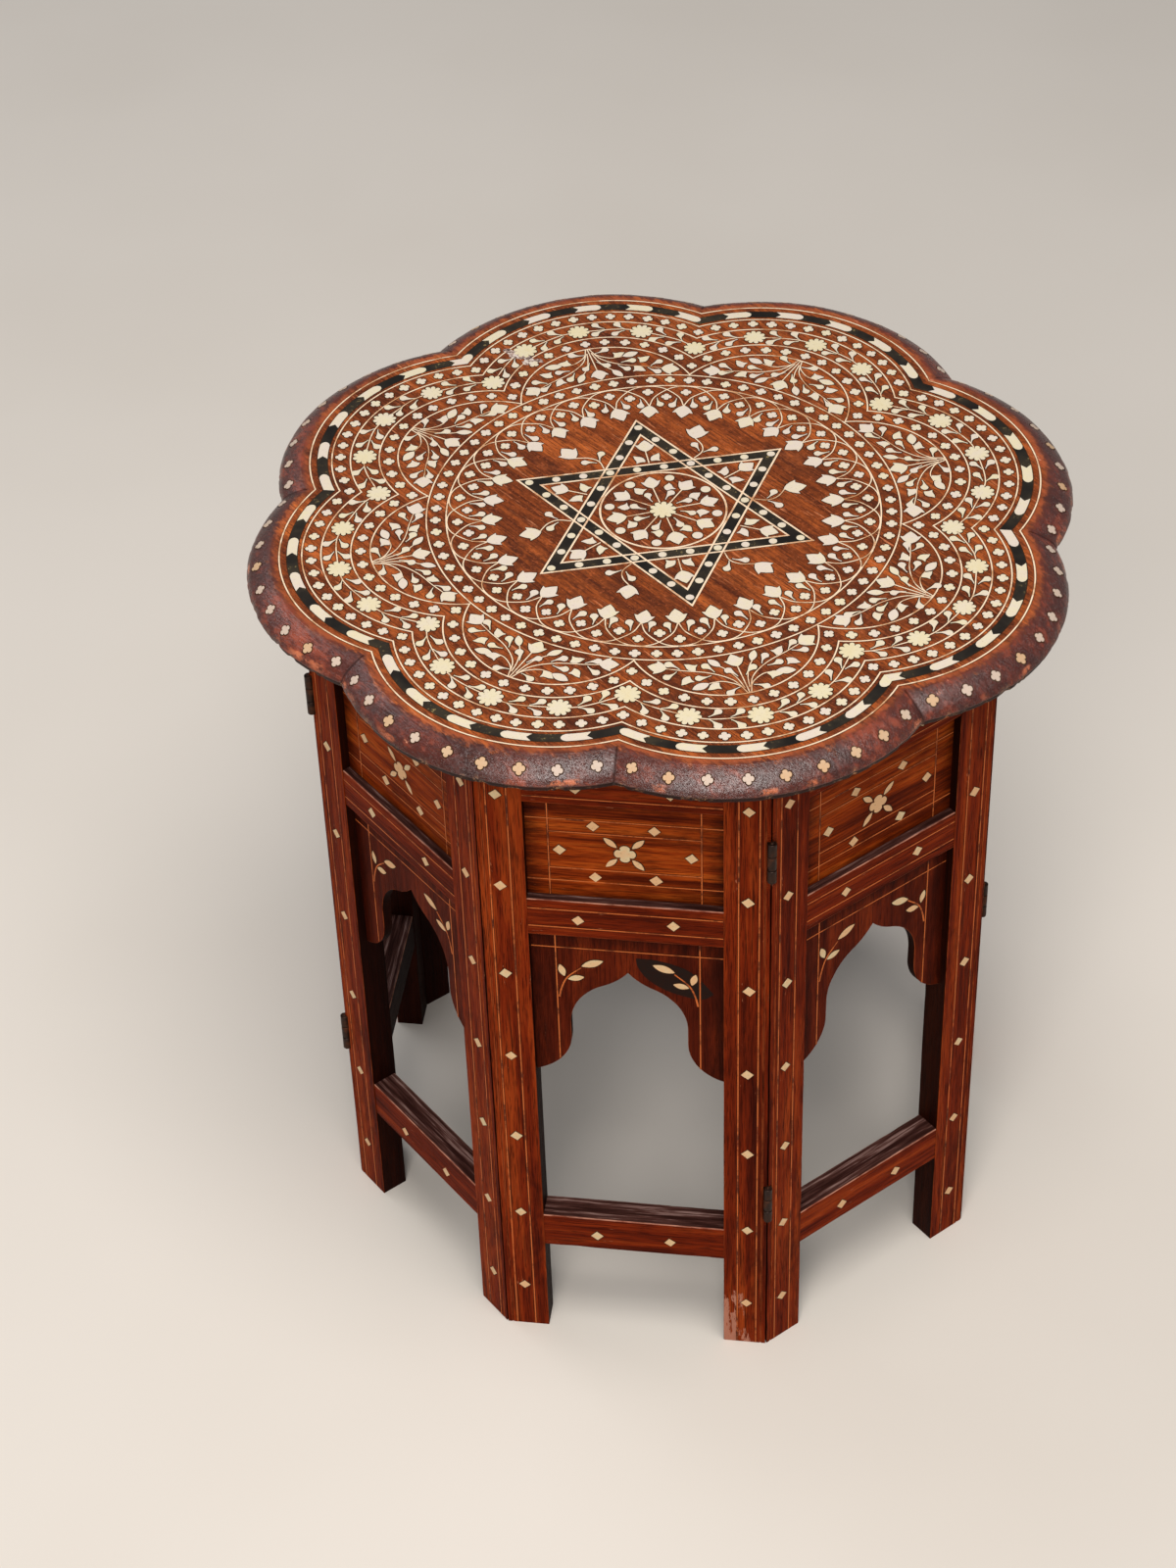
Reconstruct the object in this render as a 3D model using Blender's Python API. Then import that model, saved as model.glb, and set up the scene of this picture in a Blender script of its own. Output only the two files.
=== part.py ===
"""Folding side table: an eight-lobed inlaid top that lifts off a base of eight hinged panels.

Metres, +Z up. The origin is on the floor under the middle of the top, and the front panel faces -Y.
Every panel is drawn where the front one stands and then turned about Z to its own side.
"""
import math

import bmesh
import bpy
from mathutils import Matrix, Vector

# Base: eight framed panels that stand in an octagon
PANELS = ("front", "front_right", "right", "back_right", "back", "back_left", "left", "front_left")
BASE_RADIUS = 0.184
PANEL_HEIGHT = 0.413
FRAME_THICKNESS = 0.015
STILE_WIDTH = 0.0225
MITRE_GAP = 0.0006
CLEARANCE = 0.0003

# Rails, which sit back a little from the faces of the stiles that they are tenoned into
RAIL_SETBACK = 0.0004
TENON_LENGTH = 0.008
FOOT_RAIL_BOTTOM = 0.0655
FOOT_RAIL_HEIGHT = 0.0235
MIDDLE_RAIL_BOTTOM = 0.2937
MIDDLE_RAIL_HEIGHT = 0.0238
TOP_RAIL_HEIGHT = 0.0336

# Thin boards held in grooves of the frame
BOARD_SETBACK = 0.005
BOARD_THICKNESS = 0.0054
TONGUE_LENGTH = 0.004

# Pierced arch: a round head drawn up to a tip by hollow curves, straight legs, rounded feet at the stiles
ARCH_RADIUS = 0.0293
ARCH_SPRING_Z = 0.2307
ARCH_TIP_HEIGHT = 0.0073
ARCH_TIP_RADIUS = 0.0334
ARCH_LEG_LENGTH = 0.0104
ARCH_FOOT_RADIUS = 0.026
ARCH_STEPS = 8

# Butt hinges, two at each corner
HINGE_HEIGHT = 0.024
UPPER_HINGE_DROP = 0.060
LOWER_HINGE_Z = 0.113
PIN_STANDOFF = 0.0004
KNUCKLE_RADIUS = 0.0022
MIDDLE_KNUCKLE_LENGTH = 0.008
KNUCKLE_GAP = 0.0004
PIN_RADIUS = 0.001
PIN_CLEARANCE = 0.0003
PIN_INSET = 0.002
LEAF_REACH = 0.0115
LEAF_THICKNESS = 0.0012
ROUND_SIDES = 16

# Top: lobes are arcs about eight centres, one above each corner of the base
LOBE_CENTRE_RADIUS = 0.1015
LOBE_RADIUS = 0.1072
TOP_THICKNESS = 0.014

# Edge of the top: an undercut, an upright edge, then a wide slope with a slight crown
RIM_UNDERCUT = 0.0022
RIM_UNDERCUT_HEIGHT = 0.0022
RIM_LIP_HEIGHT = 0.0061
RIM_SLOPE_WIDTH = 0.0122
RIM_CROWN = 0.0005
RIM_STEPS = 4
LOBE_STEPS = 12

# Inlay that is one connected piece: lobed border, interlaced star, ring inside the star
INLAY_DEPTH = 0.0015
BORDER_MARGIN = 0.0204
BORDER_WIDTH = 0.0055
STAR_TIP_RADIUS = 0.0786
STAR_BAND_WIDTH = 0.0073
STAR_TURN = math.radians(47.0)
MEDALLION_MARGIN = 0.0008
MEDALLION_LINE = 0.0012
MEDALLION_STEPS = 48

# Lengths that follow from the sizes above
SIDE_ANGLE = 2 * math.pi / len(PANELS)
HALF_SIDE = SIDE_ANGLE / 2
FRONT_ANGLE = -math.pi / 2
OUTER_Y = -BASE_RADIUS * math.cos(HALF_SIDE)
INNER_Y = OUTER_Y + FRAME_THICKNESS
BOARD_Y = OUTER_Y + BOARD_SETBACK + BOARD_THICKNESS / 2
TOP_RAIL_BOTTOM = PANEL_HEIGHT - TOP_RAIL_HEIGHT
MIDDLE_RAIL_TOP = MIDDLE_RAIL_BOTTOM + MIDDLE_RAIL_HEIGHT
OUTER_PIN_RADIUS = BASE_RADIUS + PIN_STANDOFF
INNER_PIN_RADIUS = -INNER_Y / math.cos(HALF_SIDE) - PIN_STANDOFF
HINGE_LEVELS = {"lower": LOWER_HINGE_Z, "upper": PANEL_HEIGHT - UPPER_HINGE_DROP}
TOP_UNDERSIDE = PANEL_HEIGHT + CLEARANCE
TOP_SURFACE = TOP_UNDERSIDE + TOP_THICKNESS


def mitre_x(y):
    """Half width of a panel at depth y, up to its mitred edges."""
    return -y * math.tan(HALF_SIDE) - MITRE_GAP / 2 / math.cos(HALF_SIDE)


OPENING_HALF = mitre_x(OUTER_Y) - STILE_WIDTH
BOARD_HALF = OPENING_HALF + TONGUE_LENGTH


def clear_scene():
    for old in list(bpy.data.objects):
        bpy.data.objects.remove(old, do_unlink=True)


def new_collection(name):
    collection = bpy.data.collections.new(name)
    bpy.context.scene.collection.children.link(collection)
    return collection


def new_material(name, colour, roughness, metallic=0.0):
    material = bpy.data.materials.new(name)
    material.use_nodes = True
    shader = material.node_tree.nodes["Principled BSDF"]
    shader.inputs["Base Color"].default_value = (*colour, 1.0)
    shader.inputs["Roughness"].default_value = roughness
    shader.inputs["Metallic"].default_value = metallic
    return material


def tool(name, data):
    """Helper object that shapes the parts and isn't a part itself."""
    helper = bpy.data.objects.new(name, data)
    helper.hide_render = True
    helper.display_type = "WIRE"
    TOOLS.objects.link(helper)
    return helper


def finished_mesh(bm, name):
    bmesh.ops.recalc_face_normals(bm, faces=bm.faces)
    mesh = bpy.data.meshes.new(name)
    bm.to_mesh(mesh)
    bm.free()
    return mesh


def block(name, low, high, place=Matrix()):
    """Box between two corners."""
    low, high = Vector(low), Vector(high)
    bm = bmesh.new()
    bmesh.ops.create_cube(bm, size=1.0)
    bmesh.ops.scale(bm, vec=high - low, verts=bm.verts)
    bmesh.ops.translate(bm, vec=(low + high) / 2, verts=bm.verts)
    bmesh.ops.transform(bm, matrix=place, verts=bm.verts)
    return tool(name, finished_mesh(bm, name))


def rod(name, radius, low_z, high_z, place=Matrix()):
    """Upright cylinder about the local Z axis."""
    bm = bmesh.new()
    bmesh.ops.create_cone(bm, cap_ends=True, segments=ROUND_SIDES, radius1=radius, radius2=radius,
                          depth=high_z - low_z)
    bmesh.ops.translate(bm, vec=(0, 0, (low_z + high_z) / 2), verts=bm.verts)
    bmesh.ops.transform(bm, matrix=place, verts=bm.verts)
    return tool(name, finished_mesh(bm, name))


def evaluated_mesh(obj):
    bpy.context.view_layer.update()
    return bpy.data.meshes.new_from_object(obj.evaluated_get(bpy.context.evaluated_depsgraph_get()))


def plate(name, loops, thickness, place=Matrix()):
    """Flat outline with any holes, thickened equally both ways from its own plane."""
    curve = bpy.data.curves.new(name, "CURVE")
    curve.dimensions = "2D"
    curve.fill_mode = "BOTH"
    curve.extrude = thickness / 2
    for loop in loops:
        spline = curve.splines.new("POLY")
        spline.points.add(len(loop) - 1)
        spline.use_cyclic_u = True
        for point, (x, y) in zip(spline.points, loop):
            point.co = (x, y, 0, 1)
    outline = tool(name, curve)
    bm = bmesh.new()
    bm.from_mesh(evaluated_mesh(outline))
    bpy.data.objects.remove(outline)
    bmesh.ops.remove_doubles(bm, verts=bm.verts, dist=1e-6)
    bmesh.ops.transform(bm, matrix=place, verts=bm.verts)
    return tool(name, finished_mesh(bm, name))


def shaped(solid, steps):
    """Mesh of a solid after each (operation, tool) Boolean in turn."""
    for operation, other in steps:
        step = solid.modifiers.new(other.name, "BOOLEAN")
        step.operation = operation
        step.object = other
    return evaluated_mesh(solid)


def part(name, mesh, material, place, carrier):
    """One named piece of the table, carried by the empty on its joint axis."""
    piece = bpy.data.objects.new(name, mesh)
    if not mesh.materials:
        mesh.materials.append(material)
    TABLE.objects.link(piece)
    piece.parent = carrier
    piece.matrix_parent_inverse = carrier.matrix_world.inverted()
    piece.matrix_world = place
    return piece


def corner_angle(side):
    """Direction of a front-panel corner: side is -1 for its left and 1 for its right."""
    return FRONT_ANGLE + side * HALF_SIDE


def hinge_place(side, outer, z):
    """Frame on a hinge pin at a front-panel corner, with +X along the leaves into the joint."""
    angle = corner_angle(side)
    radius = OUTER_PIN_RADIUS if outer else INNER_PIN_RADIUS
    pin = Vector((radius * math.cos(angle), radius * math.sin(angle), z))
    return Matrix.Translation(pin) @ Matrix.Rotation(angle + math.pi * outer, 4, "Z")


def outer_hinged(index, side):
    """Corners take turns: barrels outside at the right of even panels, inside at their left."""
    return (side > 0) == (index % 2 == 0)


def leaf_side(index):
    """Even panels carry the leaves with the pins, on the +Y side of the hinge frame."""
    return 1 if index % 2 == 0 else -1


def stile(side):
    """Upright with one mitred edge, from its plan outline."""
    plan = [
        (side * OPENING_HALF, OUTER_Y),
        (side * mitre_x(OUTER_Y), OUTER_Y),
        (side * mitre_x(INNER_Y), INNER_Y),
        (side * OPENING_HALF, INNER_Y),
    ]
    middle = Matrix.Translation((0, 0, PANEL_HEIGHT / 2))
    return plate("stile", [plan], PANEL_HEIGHT, middle)


def rail(name, bottom, top):
    reach = OPENING_HALF + TENON_LENGTH
    return block(name, (-reach, OUTER_Y + RAIL_SETBACK, bottom), (reach, INNER_Y - RAIL_SETBACK, top))


def groove(name, bottom, top):
    """Slot round a thin board, as deep as its tongue and clear of it all round."""
    reach = BOARD_HALF + CLEARANCE
    half = BOARD_THICKNESS / 2 + CLEARANCE
    return block(name, (-reach, BOARD_Y - half, bottom - CLEARANCE), (reach, BOARD_Y + half, top + CLEARANCE))


def hinge_cuts(index):
    """Mortises for the leaves and round recesses for the barrels of one panel's four hinges."""
    cuts = []
    hand = leaf_side(index)
    half = HINGE_HEIGHT / 2 + CLEARANCE
    depth = MITRE_GAP / 2 + LEAF_THICKNESS + CLEARANCE
    for side in (-1, 1):
        for z in HINGE_LEVELS.values():
            place = hinge_place(side, outer_hinged(index, side), z)
            low = (-KNUCKLE_RADIUS, min(0, hand * depth), -half)
            high = (LEAF_REACH + CLEARANCE, max(0, hand * depth), half)
            recess = KNUCKLE_RADIUS + KNUCKLE_GAP
            ends = half + CLEARANCE
            cuts.append(("DIFFERENCE", block("leaf_mortise", low, high, place)))
            cuts.append(("DIFFERENCE", rod("barrel_recess", recess, -ends, ends, place)))
    return cuts


def frame_mesh(index):
    """Glued frame: two stiles and three rails, grooved for the boards and cut for the hinges."""
    joints = [
        ("UNION", stile(1)),
        ("UNION", rail("foot_rail", FOOT_RAIL_BOTTOM, FOOT_RAIL_BOTTOM + FOOT_RAIL_HEIGHT)),
        ("UNION", rail("middle_rail", MIDDLE_RAIL_BOTTOM, MIDDLE_RAIL_TOP)),
        ("UNION", rail("top_rail", TOP_RAIL_BOTTOM, PANEL_HEIGHT - RAIL_SETBACK)),
        ("DIFFERENCE", groove("inset_groove", inset_bottom(), inset_top())),
        ("DIFFERENCE", groove("arch_groove", arch_bottom(), arch_top())),
    ]
    return shaped(stile(-1), joints + hinge_cuts(index))


def inset_bottom():
    return MIDDLE_RAIL_TOP - TONGUE_LENGTH


def inset_top():
    return TOP_RAIL_BOTTOM + TONGUE_LENGTH


def inset_mesh():
    """Flat board above the middle rail, with its tongues in the frame's grooves."""
    half = BOARD_THICKNESS / 2
    low = (-BOARD_HALF, BOARD_Y - half, inset_bottom())
    high = (BOARD_HALF, BOARD_Y + half, inset_top())
    return block("inset_board", low, high).data


def arch_foot_z():
    return ARCH_SPRING_Z - ARCH_LEG_LENGTH


def arch_bottom():
    return min(z for _, z in arch_half())


def arch_top():
    return MIDDLE_RAIL_BOTTOM + TONGUE_LENGTH


def arc(x, z, radius, start, stop):
    """Points on an arc about (x, z); its angles run clockwise from straight up."""
    turns = [start + (stop - start) * step / ARCH_STEPS for step in range(ARCH_STEPS + 1)]
    return [(x + radius * math.sin(turn), z + radius * math.cos(turn)) for turn in turns]


def arch_half():
    """Right half of the arch's edge, from the tip down to the stile."""
    rise = ARCH_RADIUS + ARCH_TIP_HEIGHT
    reach = ARCH_RADIUS + ARCH_TIP_RADIUS
    shoulder = math.acos((reach ** 2 + rise ** 2 - ARCH_TIP_RADIUS ** 2) / (2 * rise * reach))
    hollow_x = reach * math.sin(shoulder)
    hollow_z = reach * math.cos(shoulder)
    tip_turn = math.pi + math.atan2(hollow_x, hollow_z - rise)
    hollow = arc(hollow_x, ARCH_SPRING_Z + hollow_z, ARCH_TIP_RADIUS, tip_turn, math.pi + shoulder)
    head = arc(0.0, ARCH_SPRING_Z, ARCH_RADIUS, shoulder, math.pi / 2)
    foot_x = ARCH_RADIUS + ARCH_FOOT_RADIUS
    sweep = math.acos(max(0.0, (foot_x - BOARD_HALF) / ARCH_FOOT_RADIUS))
    level = 3 * math.pi / 2
    foot = arc(foot_x, arch_foot_z(), ARCH_FOOT_RADIUS, level, level - sweep)
    points = [(0.0, ARCH_SPRING_Z + rise)] + hollow[1:] + head[1:] + foot
    if points[-1][0] < BOARD_HALF - CLEARANCE:
        points.append((BOARD_HALF, points[-1][1]))
    return points


def arch_mesh():
    """Pierced board below the middle rail."""
    right = arch_half() + [(BOARD_HALF, arch_top())]
    left = [(-x, z) for x, z in reversed(right) if x > 0]
    upright = Matrix.Translation((0, BOARD_Y, 0)) @ Matrix.Rotation(math.pi / 2, 4, "X")
    return plate("arch_board", [right + left], BOARD_THICKNESS, upright).data


def leaf_plate(hand):
    near = hand * MITRE_GAP / 2
    far = hand * (MITRE_GAP / 2 + LEAF_THICKNESS)
    half = HINGE_HEIGHT / 2
    return block("leaf", (0, min(near, far), -half), (LEAF_REACH, max(near, far), half))


def knuckle_notch(low_z, high_z):
    """Room in a leaf for the other leaf's knuckle."""
    reach = KNUCKLE_RADIUS + CLEARANCE
    return block("knuckle_notch", (-reach, -reach, low_z), (reach, reach, high_z))


def pin_leaf_mesh():
    """Leaf with the two end knuckles and the pin fixed in them."""
    inner = MIDDLE_KNUCKLE_LENGTH / 2 + KNUCKLE_GAP
    outer = HINGE_HEIGHT / 2
    steps = [
        ("DIFFERENCE", knuckle_notch(-inner, inner)),
        ("UNION", rod("upper_knuckle", KNUCKLE_RADIUS, inner, outer + CLEARANCE)),
        ("UNION", rod("lower_knuckle", KNUCKLE_RADIUS, -outer - CLEARANCE, -inner)),
        ("UNION", rod("pin", PIN_RADIUS, PIN_INSET - outer, outer - PIN_INSET)),
    ]
    return shaped(leaf_plate(1), steps)


def plain_leaf_mesh():
    """Leaf with the one middle knuckle, bored for the pin."""
    half = MIDDLE_KNUCKLE_LENGTH / 2
    outer = HINGE_HEIGHT
    bore = PIN_RADIUS + PIN_CLEARANCE
    steps = [
        ("DIFFERENCE", knuckle_notch(half - CLEARANCE, outer)),
        ("DIFFERENCE", knuckle_notch(-outer, CLEARANCE - half)),
        ("UNION", rod("middle_knuckle", KNUCKLE_RADIUS, -half, half)),
        ("DIFFERENCE", rod("pin_bore", bore, -outer, outer)),
    ]
    return shaped(leaf_plate(-1), steps)


def lobed_loop(radius):
    """Points round the eight lobes, cusp to cusp, for arcs of one radius about the lobe centres."""
    half_arc = HALF_SIDE + math.asin(LOBE_CENTRE_RADIUS * math.sin(HALF_SIDE) / radius)
    points = []
    for lobe in range(len(PANELS)):
        apex = HALF_SIDE + lobe * SIDE_ANGLE
        centre = Vector((LOBE_CENTRE_RADIUS * math.cos(apex), LOBE_CENTRE_RADIUS * math.sin(apex)))
        for step in range(LOBE_STEPS):
            turn = apex - half_arc + 2 * half_arc * step / LOBE_STEPS
            points.append(centre + radius * Vector((math.cos(turn), math.sin(turn))))
    return points


def rim_profile():
    """Lobe radius and height of each ring of the board's edge, from the underside to the top."""
    rings = [(LOBE_RADIUS - RIM_UNDERCUT, TOP_UNDERSIDE), (LOBE_RADIUS, TOP_UNDERSIDE + RIM_UNDERCUT_HEIGHT)]
    lip = TOP_UNDERSIDE + RIM_LIP_HEIGHT
    for step in range(RIM_STEPS + 1):
        share = step / RIM_STEPS
        crown = RIM_CROWN * math.sin(math.pi * share)
        rings.append((LOBE_RADIUS - RIM_SLOPE_WIDTH * share, lip + (TOP_SURFACE - lip) * share + crown))
    return rings


def top_board():
    """Lobed board, lofted through the rings of its sloped edge."""
    bm = bmesh.new()
    rings = []
    for radius, z in rim_profile():
        rings.append([bm.verts.new((x, y, z)) for x, y in lobed_loop(radius)])
    for below, above in zip(rings, rings[1:]):
        for index in range(len(below)):
            after = (index + 1) % len(below)
            bm.faces.new((below[index], below[after], above[after], above[index]))
    bm.faces.new(reversed(rings[0]))
    bm.faces.new(rings[-1])
    return tool("top_board", finished_mesh(bm, "top_board"))


def border_loops(gap):
    outer = LOBE_RADIUS - BORDER_MARGIN
    return [lobed_loop(outer + gap), lobed_loop(outer - BORDER_WIDTH - gap)]


def polar(radius, angle):
    return (radius * math.cos(angle), radius * math.sin(angle))


def star_loops(gap):
    """Outline and seven holes of two interlaced triangular bands."""
    sixth = math.pi / 3
    side_distance = STAR_TIP_RADIUS / 2 + gap
    hole_distance = STAR_TIP_RADIUS / 2 - STAR_BAND_WIDTH - gap
    outline = []
    for point in range(6):
        tip = STAR_TURN + point * sixth
        outline.append(polar(2 * side_distance, tip))
        outline.append(polar(side_distance / math.cos(sixth / 2), tip + sixth / 2))
    middle = [polar(hole_distance / math.cos(sixth / 2), STAR_TURN + (point + 0.5) * sixth)
              for point in range(6)]
    holes = []
    half_base = (2 * hole_distance - side_distance) * math.tan(sixth / 2)
    for point in range(6):
        tip = STAR_TURN + point * sixth
        ahead = Vector(polar(1.0, tip))
        across = Vector((-ahead.y, ahead.x))
        base = ahead * side_distance
        holes.append([ahead * 2 * hole_distance, base + across * half_base, base - across * half_base])
    return [outline, middle] + holes


def medallion_loops(gap):
    """Ring that just clears the inner sides of the star."""
    outer = STAR_TIP_RADIUS / 2 - STAR_BAND_WIDTH - MEDALLION_MARGIN
    turns = [2 * math.pi * step / MEDALLION_STEPS for step in range(MEDALLION_STEPS)]
    return [[polar(radius, turn) for turn in turns] for radius in (outer + gap, outer - MEDALLION_LINE - gap)]


INLAYS = {"border_band": border_loops, "star_band": star_loops, "medallion_ring": medallion_loops}


def inlay_mesh(loops):
    middle = Matrix.Translation((0, 0, TOP_SURFACE - INLAY_DEPTH / 2))
    return plate("inlay", loops(0.0), INLAY_DEPTH, middle).data


def inlay_cut(loops):
    """Pocket for an inlay, clear of it all round and open at the top."""
    middle = Matrix.Translation((0, 0, TOP_SURFACE))
    return plate("inlay_pocket", loops(CLEARANCE), 2 * (INLAY_DEPTH + CLEARANCE), middle)


def pivot(name, place, parent=None):
    """Empty on a joint axis that carries one moving body."""
    empty = bpy.data.objects.new(name, None)
    TABLE.objects.link(empty)
    if parent:
        empty.parent = parent
        empty.matrix_parent_inverse = parent.matrix_world.inverted()
    empty.matrix_world = Matrix.Translation(place)
    bpy.context.view_layer.update()
    return empty


def side_turn(index):
    return Matrix.Rotation(index * SIDE_ANGLE, 4, "Z")


def panel_pivots():
    """Two chains of hinges run from the front panel: four panels to its right, three to its left."""
    pivots = {0: pivot("front_base", (0, 0, 0))}
    last = len(PANELS) - 1
    chain = [(index, index - 1, -1) for index in range(1, 5)]
    chain += [(index, (index + 1) % len(PANELS), 1) for index in range(last, 4, -1)]
    for index, parent, side in chain:
        place = side_turn(index) @ hinge_place(side, outer_hinged(index, side), 0.0)
        pivots[index] = pivot(PANELS[index] + "_pivot", place.translation, pivots[parent])
    return pivots


def add_panels():
    pivots = panel_pivots()
    frames = (frame_mesh(0), frame_mesh(1))
    inset = inset_mesh()
    arch = arch_mesh()
    leaves = (pin_leaf_mesh(), plain_leaf_mesh())
    leaf_names = ("hinge_pin_leaf", "hinge_leaf")
    for index, panel in enumerate(PANELS):
        kind = index % 2
        turn = side_turn(index)
        carrier = pivots[index]
        part(panel + "_frame", frames[kind], FRAME_WOOD, turn, carrier)
        part(panel + "_inset_panel", inset, BOARD_WOOD, turn, carrier)
        part(panel + "_arch_panel", arch, BOARD_WOOD, turn, carrier)
        for level, z in HINGE_LEVELS.items():
            for side, side_name in ((-1, "left"), (1, "right")):
                place = turn @ hinge_place(side, outer_hinged(index, side), z)
                name = "_".join((panel, level, side_name, leaf_names[kind]))
                part(name, leaves[kind], IRON, place, carrier)


def add_top():
    carrier = pivot("top_lift", (0, 0, PANEL_HEIGHT))
    pockets = [("DIFFERENCE", inlay_cut(loops)) for loops in INLAYS.values()]
    part("tabletop", shaped(top_board(), pockets), TOP_WOOD, Matrix(), carrier)
    for name, loops in INLAYS.items():
        material = BONE if name == "medallion_ring" else EBONY
        part(name, inlay_mesh(loops), material, Matrix(), carrier)


clear_scene()
TABLE = new_collection("inlaid_side_table")
TOOLS = new_collection("cutters")
FRAME_WOOD = new_material("frame_rosewood", (0.24, 0.070, 0.025), 0.42)
BOARD_WOOD = new_material("board_rosewood", (0.30, 0.085, 0.026), 0.45)
TOP_WOOD = new_material("top_rosewood", (0.27, 0.080, 0.032), 0.38)
EBONY = new_material("ebony", (0.02, 0.016, 0.014), 0.40)
BONE = new_material("bone", (0.80, 0.70, 0.52), 0.45)
IRON = new_material("hinge_iron", (0.035, 0.030, 0.027), 0.55, 0.9)
add_panels()
add_top()
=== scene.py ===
"""Looks of an inlaid folding side table: rosewood boards, bone and ebony inlay, iron hinges.

Lengths are in millimetres and become metres as each mesh is made. Every panel of the base is drawn
where the front one stands, facing -Y, and then turned about Z to its own side. In a drawing on a panel
x runs across and y runs up; in a drawing on the top they are the frame's own.
"""
import random
from math import acos, asin, atan2, cos, hypot, pi, radians, sin, sqrt, tan

import bmesh
import bpy
from mathutils import Matrix, Vector, noise


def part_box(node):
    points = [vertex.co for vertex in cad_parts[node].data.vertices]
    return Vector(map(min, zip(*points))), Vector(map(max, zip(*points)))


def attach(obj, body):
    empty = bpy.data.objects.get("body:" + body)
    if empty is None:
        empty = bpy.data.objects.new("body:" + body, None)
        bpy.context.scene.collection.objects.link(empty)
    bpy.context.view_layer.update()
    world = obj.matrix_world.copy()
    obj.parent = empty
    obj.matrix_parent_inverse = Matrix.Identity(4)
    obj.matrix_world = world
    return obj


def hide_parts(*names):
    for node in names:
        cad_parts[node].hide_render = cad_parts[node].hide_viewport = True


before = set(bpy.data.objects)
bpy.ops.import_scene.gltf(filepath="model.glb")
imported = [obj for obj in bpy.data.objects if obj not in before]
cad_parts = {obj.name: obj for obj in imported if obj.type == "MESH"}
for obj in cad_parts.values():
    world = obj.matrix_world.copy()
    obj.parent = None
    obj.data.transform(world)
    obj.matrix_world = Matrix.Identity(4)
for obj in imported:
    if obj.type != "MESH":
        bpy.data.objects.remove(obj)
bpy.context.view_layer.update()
MM = 0.001


def node_box(node):
    """Lowest and highest corner of a CAD node, in millimetres."""
    low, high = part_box(node)
    return low / MM, high / MM


# Places taken from the frame
PANELS = ("front", "front_right", "right", "back_right", "back", "back_left", "left", "front_left")
SIDES = ((-1, "left"), (1, "right"))
FRAME_LOW, FRAME_HIGH = node_box("front_frame")
INSET_LOW, INSET_HIGH = node_box("front_inset_panel")
TOP_LOW, TOP_HIGH = node_box("tabletop")
HINGE_BOXES = {level: node_box(f"front_{level}_right_hinge_pin_leaf") for level in ("lower", "upper")}
HINGE_LEVELS = {level: (low.z, high.z) for level, (low, high) in HINGE_BOXES.items()}
OUTER_Y = FRAME_LOW.y
INNER_Y = FRAME_HIGH.y
PANEL_HEIGHT = FRAME_HIGH.z
BOARD_Y = INSET_LOW.y
BOARD_BACK = INSET_HIGH.y
TOP_Z = TOP_HIGH.z
SIDE_ANGLE = 2 * pi / len(PANELS)
HALF_SIDE = SIDE_ANGLE / 2

# Frames of the panels
STILE_WIDTH = 22.5
MITRE_GAP = 0.6
RAIL_SETBACK = 0.4
RAIL_TENON = 2.0
BOARD_TONGUE = 3.0
FOOT_RAIL = (65.5, 89.0)
MIDDLE_RAIL = (293.7, 317.5)
TOP_RAIL = (379.4, PANEL_HEIGHT - RAIL_SETBACK)
INSET_MIDDLE = 346.8
ARRIS = 0.7
RAIL_ARRIS = 1.0
BOARD_ARRIS = 0.4
SECTION_LENGTH = 6.0
SHARP_ANGLE = radians(50)
JOINT_DIRT = 1.0
SCAR_HEIGHT = 60.0
GROOVE_X = 67.4
GROOVE_WIDTH = 0.7
GROOVE_DEPTH = 0.5

# Planed waves and nicks of the boards: height and length
PLANED = (0.12, 45)
NICKED = (0.9, 9)
NICK_START = 0.25

# Pierced arch
ARCH_RADIUS = 29.3
ARCH_SPRING = 230.7
ARCH_TIP_HEIGHT = 7.3
ARCH_TIP_RADIUS = 33.4
ARCH_LEG = 10.4
ARCH_FOOT_RADIUS = 26.0
ARCH_STEPS = 20

# Hinges
PIN_STANDOFF = 0.4
KNUCKLE_RADIUS = 2.2
KNUCKLE_GAP = 0.4
KNUCKLE_EASE = 0.35
MIDDLE_KNUCKLE = 8.0
PIN_RADIUS = 1.0
PIN_CAP = 0.5
LEAF_REACH = 11.5
LEAF_THICKNESS = 1.2
HINGE_CLEARANCE = 0.3
HINGE_SHARP_ANGLE = radians(30)
ROUND_SIDES = 28
SCREW_RADIUS = 2.1
SCREW_SLOT = 0.6
SCREW_SHARES = (-0.62, 0.0, 0.62)

# Lobed top
LOBE_CENTRE_RADIUS = 101.5
RIM_RADIUS = 107.2
RIM_UNDERCUT = 2.2
RIM_LIP_Z = TOP_LOW.z + 6.1
RIM_LIP_HEIGHT = RIM_LIP_Z - TOP_LOW.z
RIM_SLOPE_WIDTH = 12.2
RIM_CROWN = 0.9
LIP_ROUNDING = 1.6
LIP_SHARE = 0.2
RIM_STEPS = 20
FLAT_RADIUS = RIM_RADIUS - RIM_SLOPE_WIDTH
RIM_FADE = 0.72
RIM_FADE_TONE = 0.35
CHIP_DEPTH = 2.2
TOP_SHARP_ANGLE = radians(18)
LOBE_STEPS = 144
GRAIN_ANGLE = radians(-42)

# Heights of the inlay over the wood, and how far it goes in
INLAY_DEPTH = 0.5
FILLER_LIFT = 0.03
EBONY_LIFT = 0.07
LINE_LIFT = 0.10
BONE_LIFT = 0.14
LIFT_SPREAD = 0.015
FILLER_MARGIN = 0.55
LINE_LAYERS = (("lines", LINE_LIFT, 0.0), ("filler", FILLER_LIFT, FILLER_MARGIN / 2))
LINE_WIDTH = 0.72
STEM_WIDTH = 0.6

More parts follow.
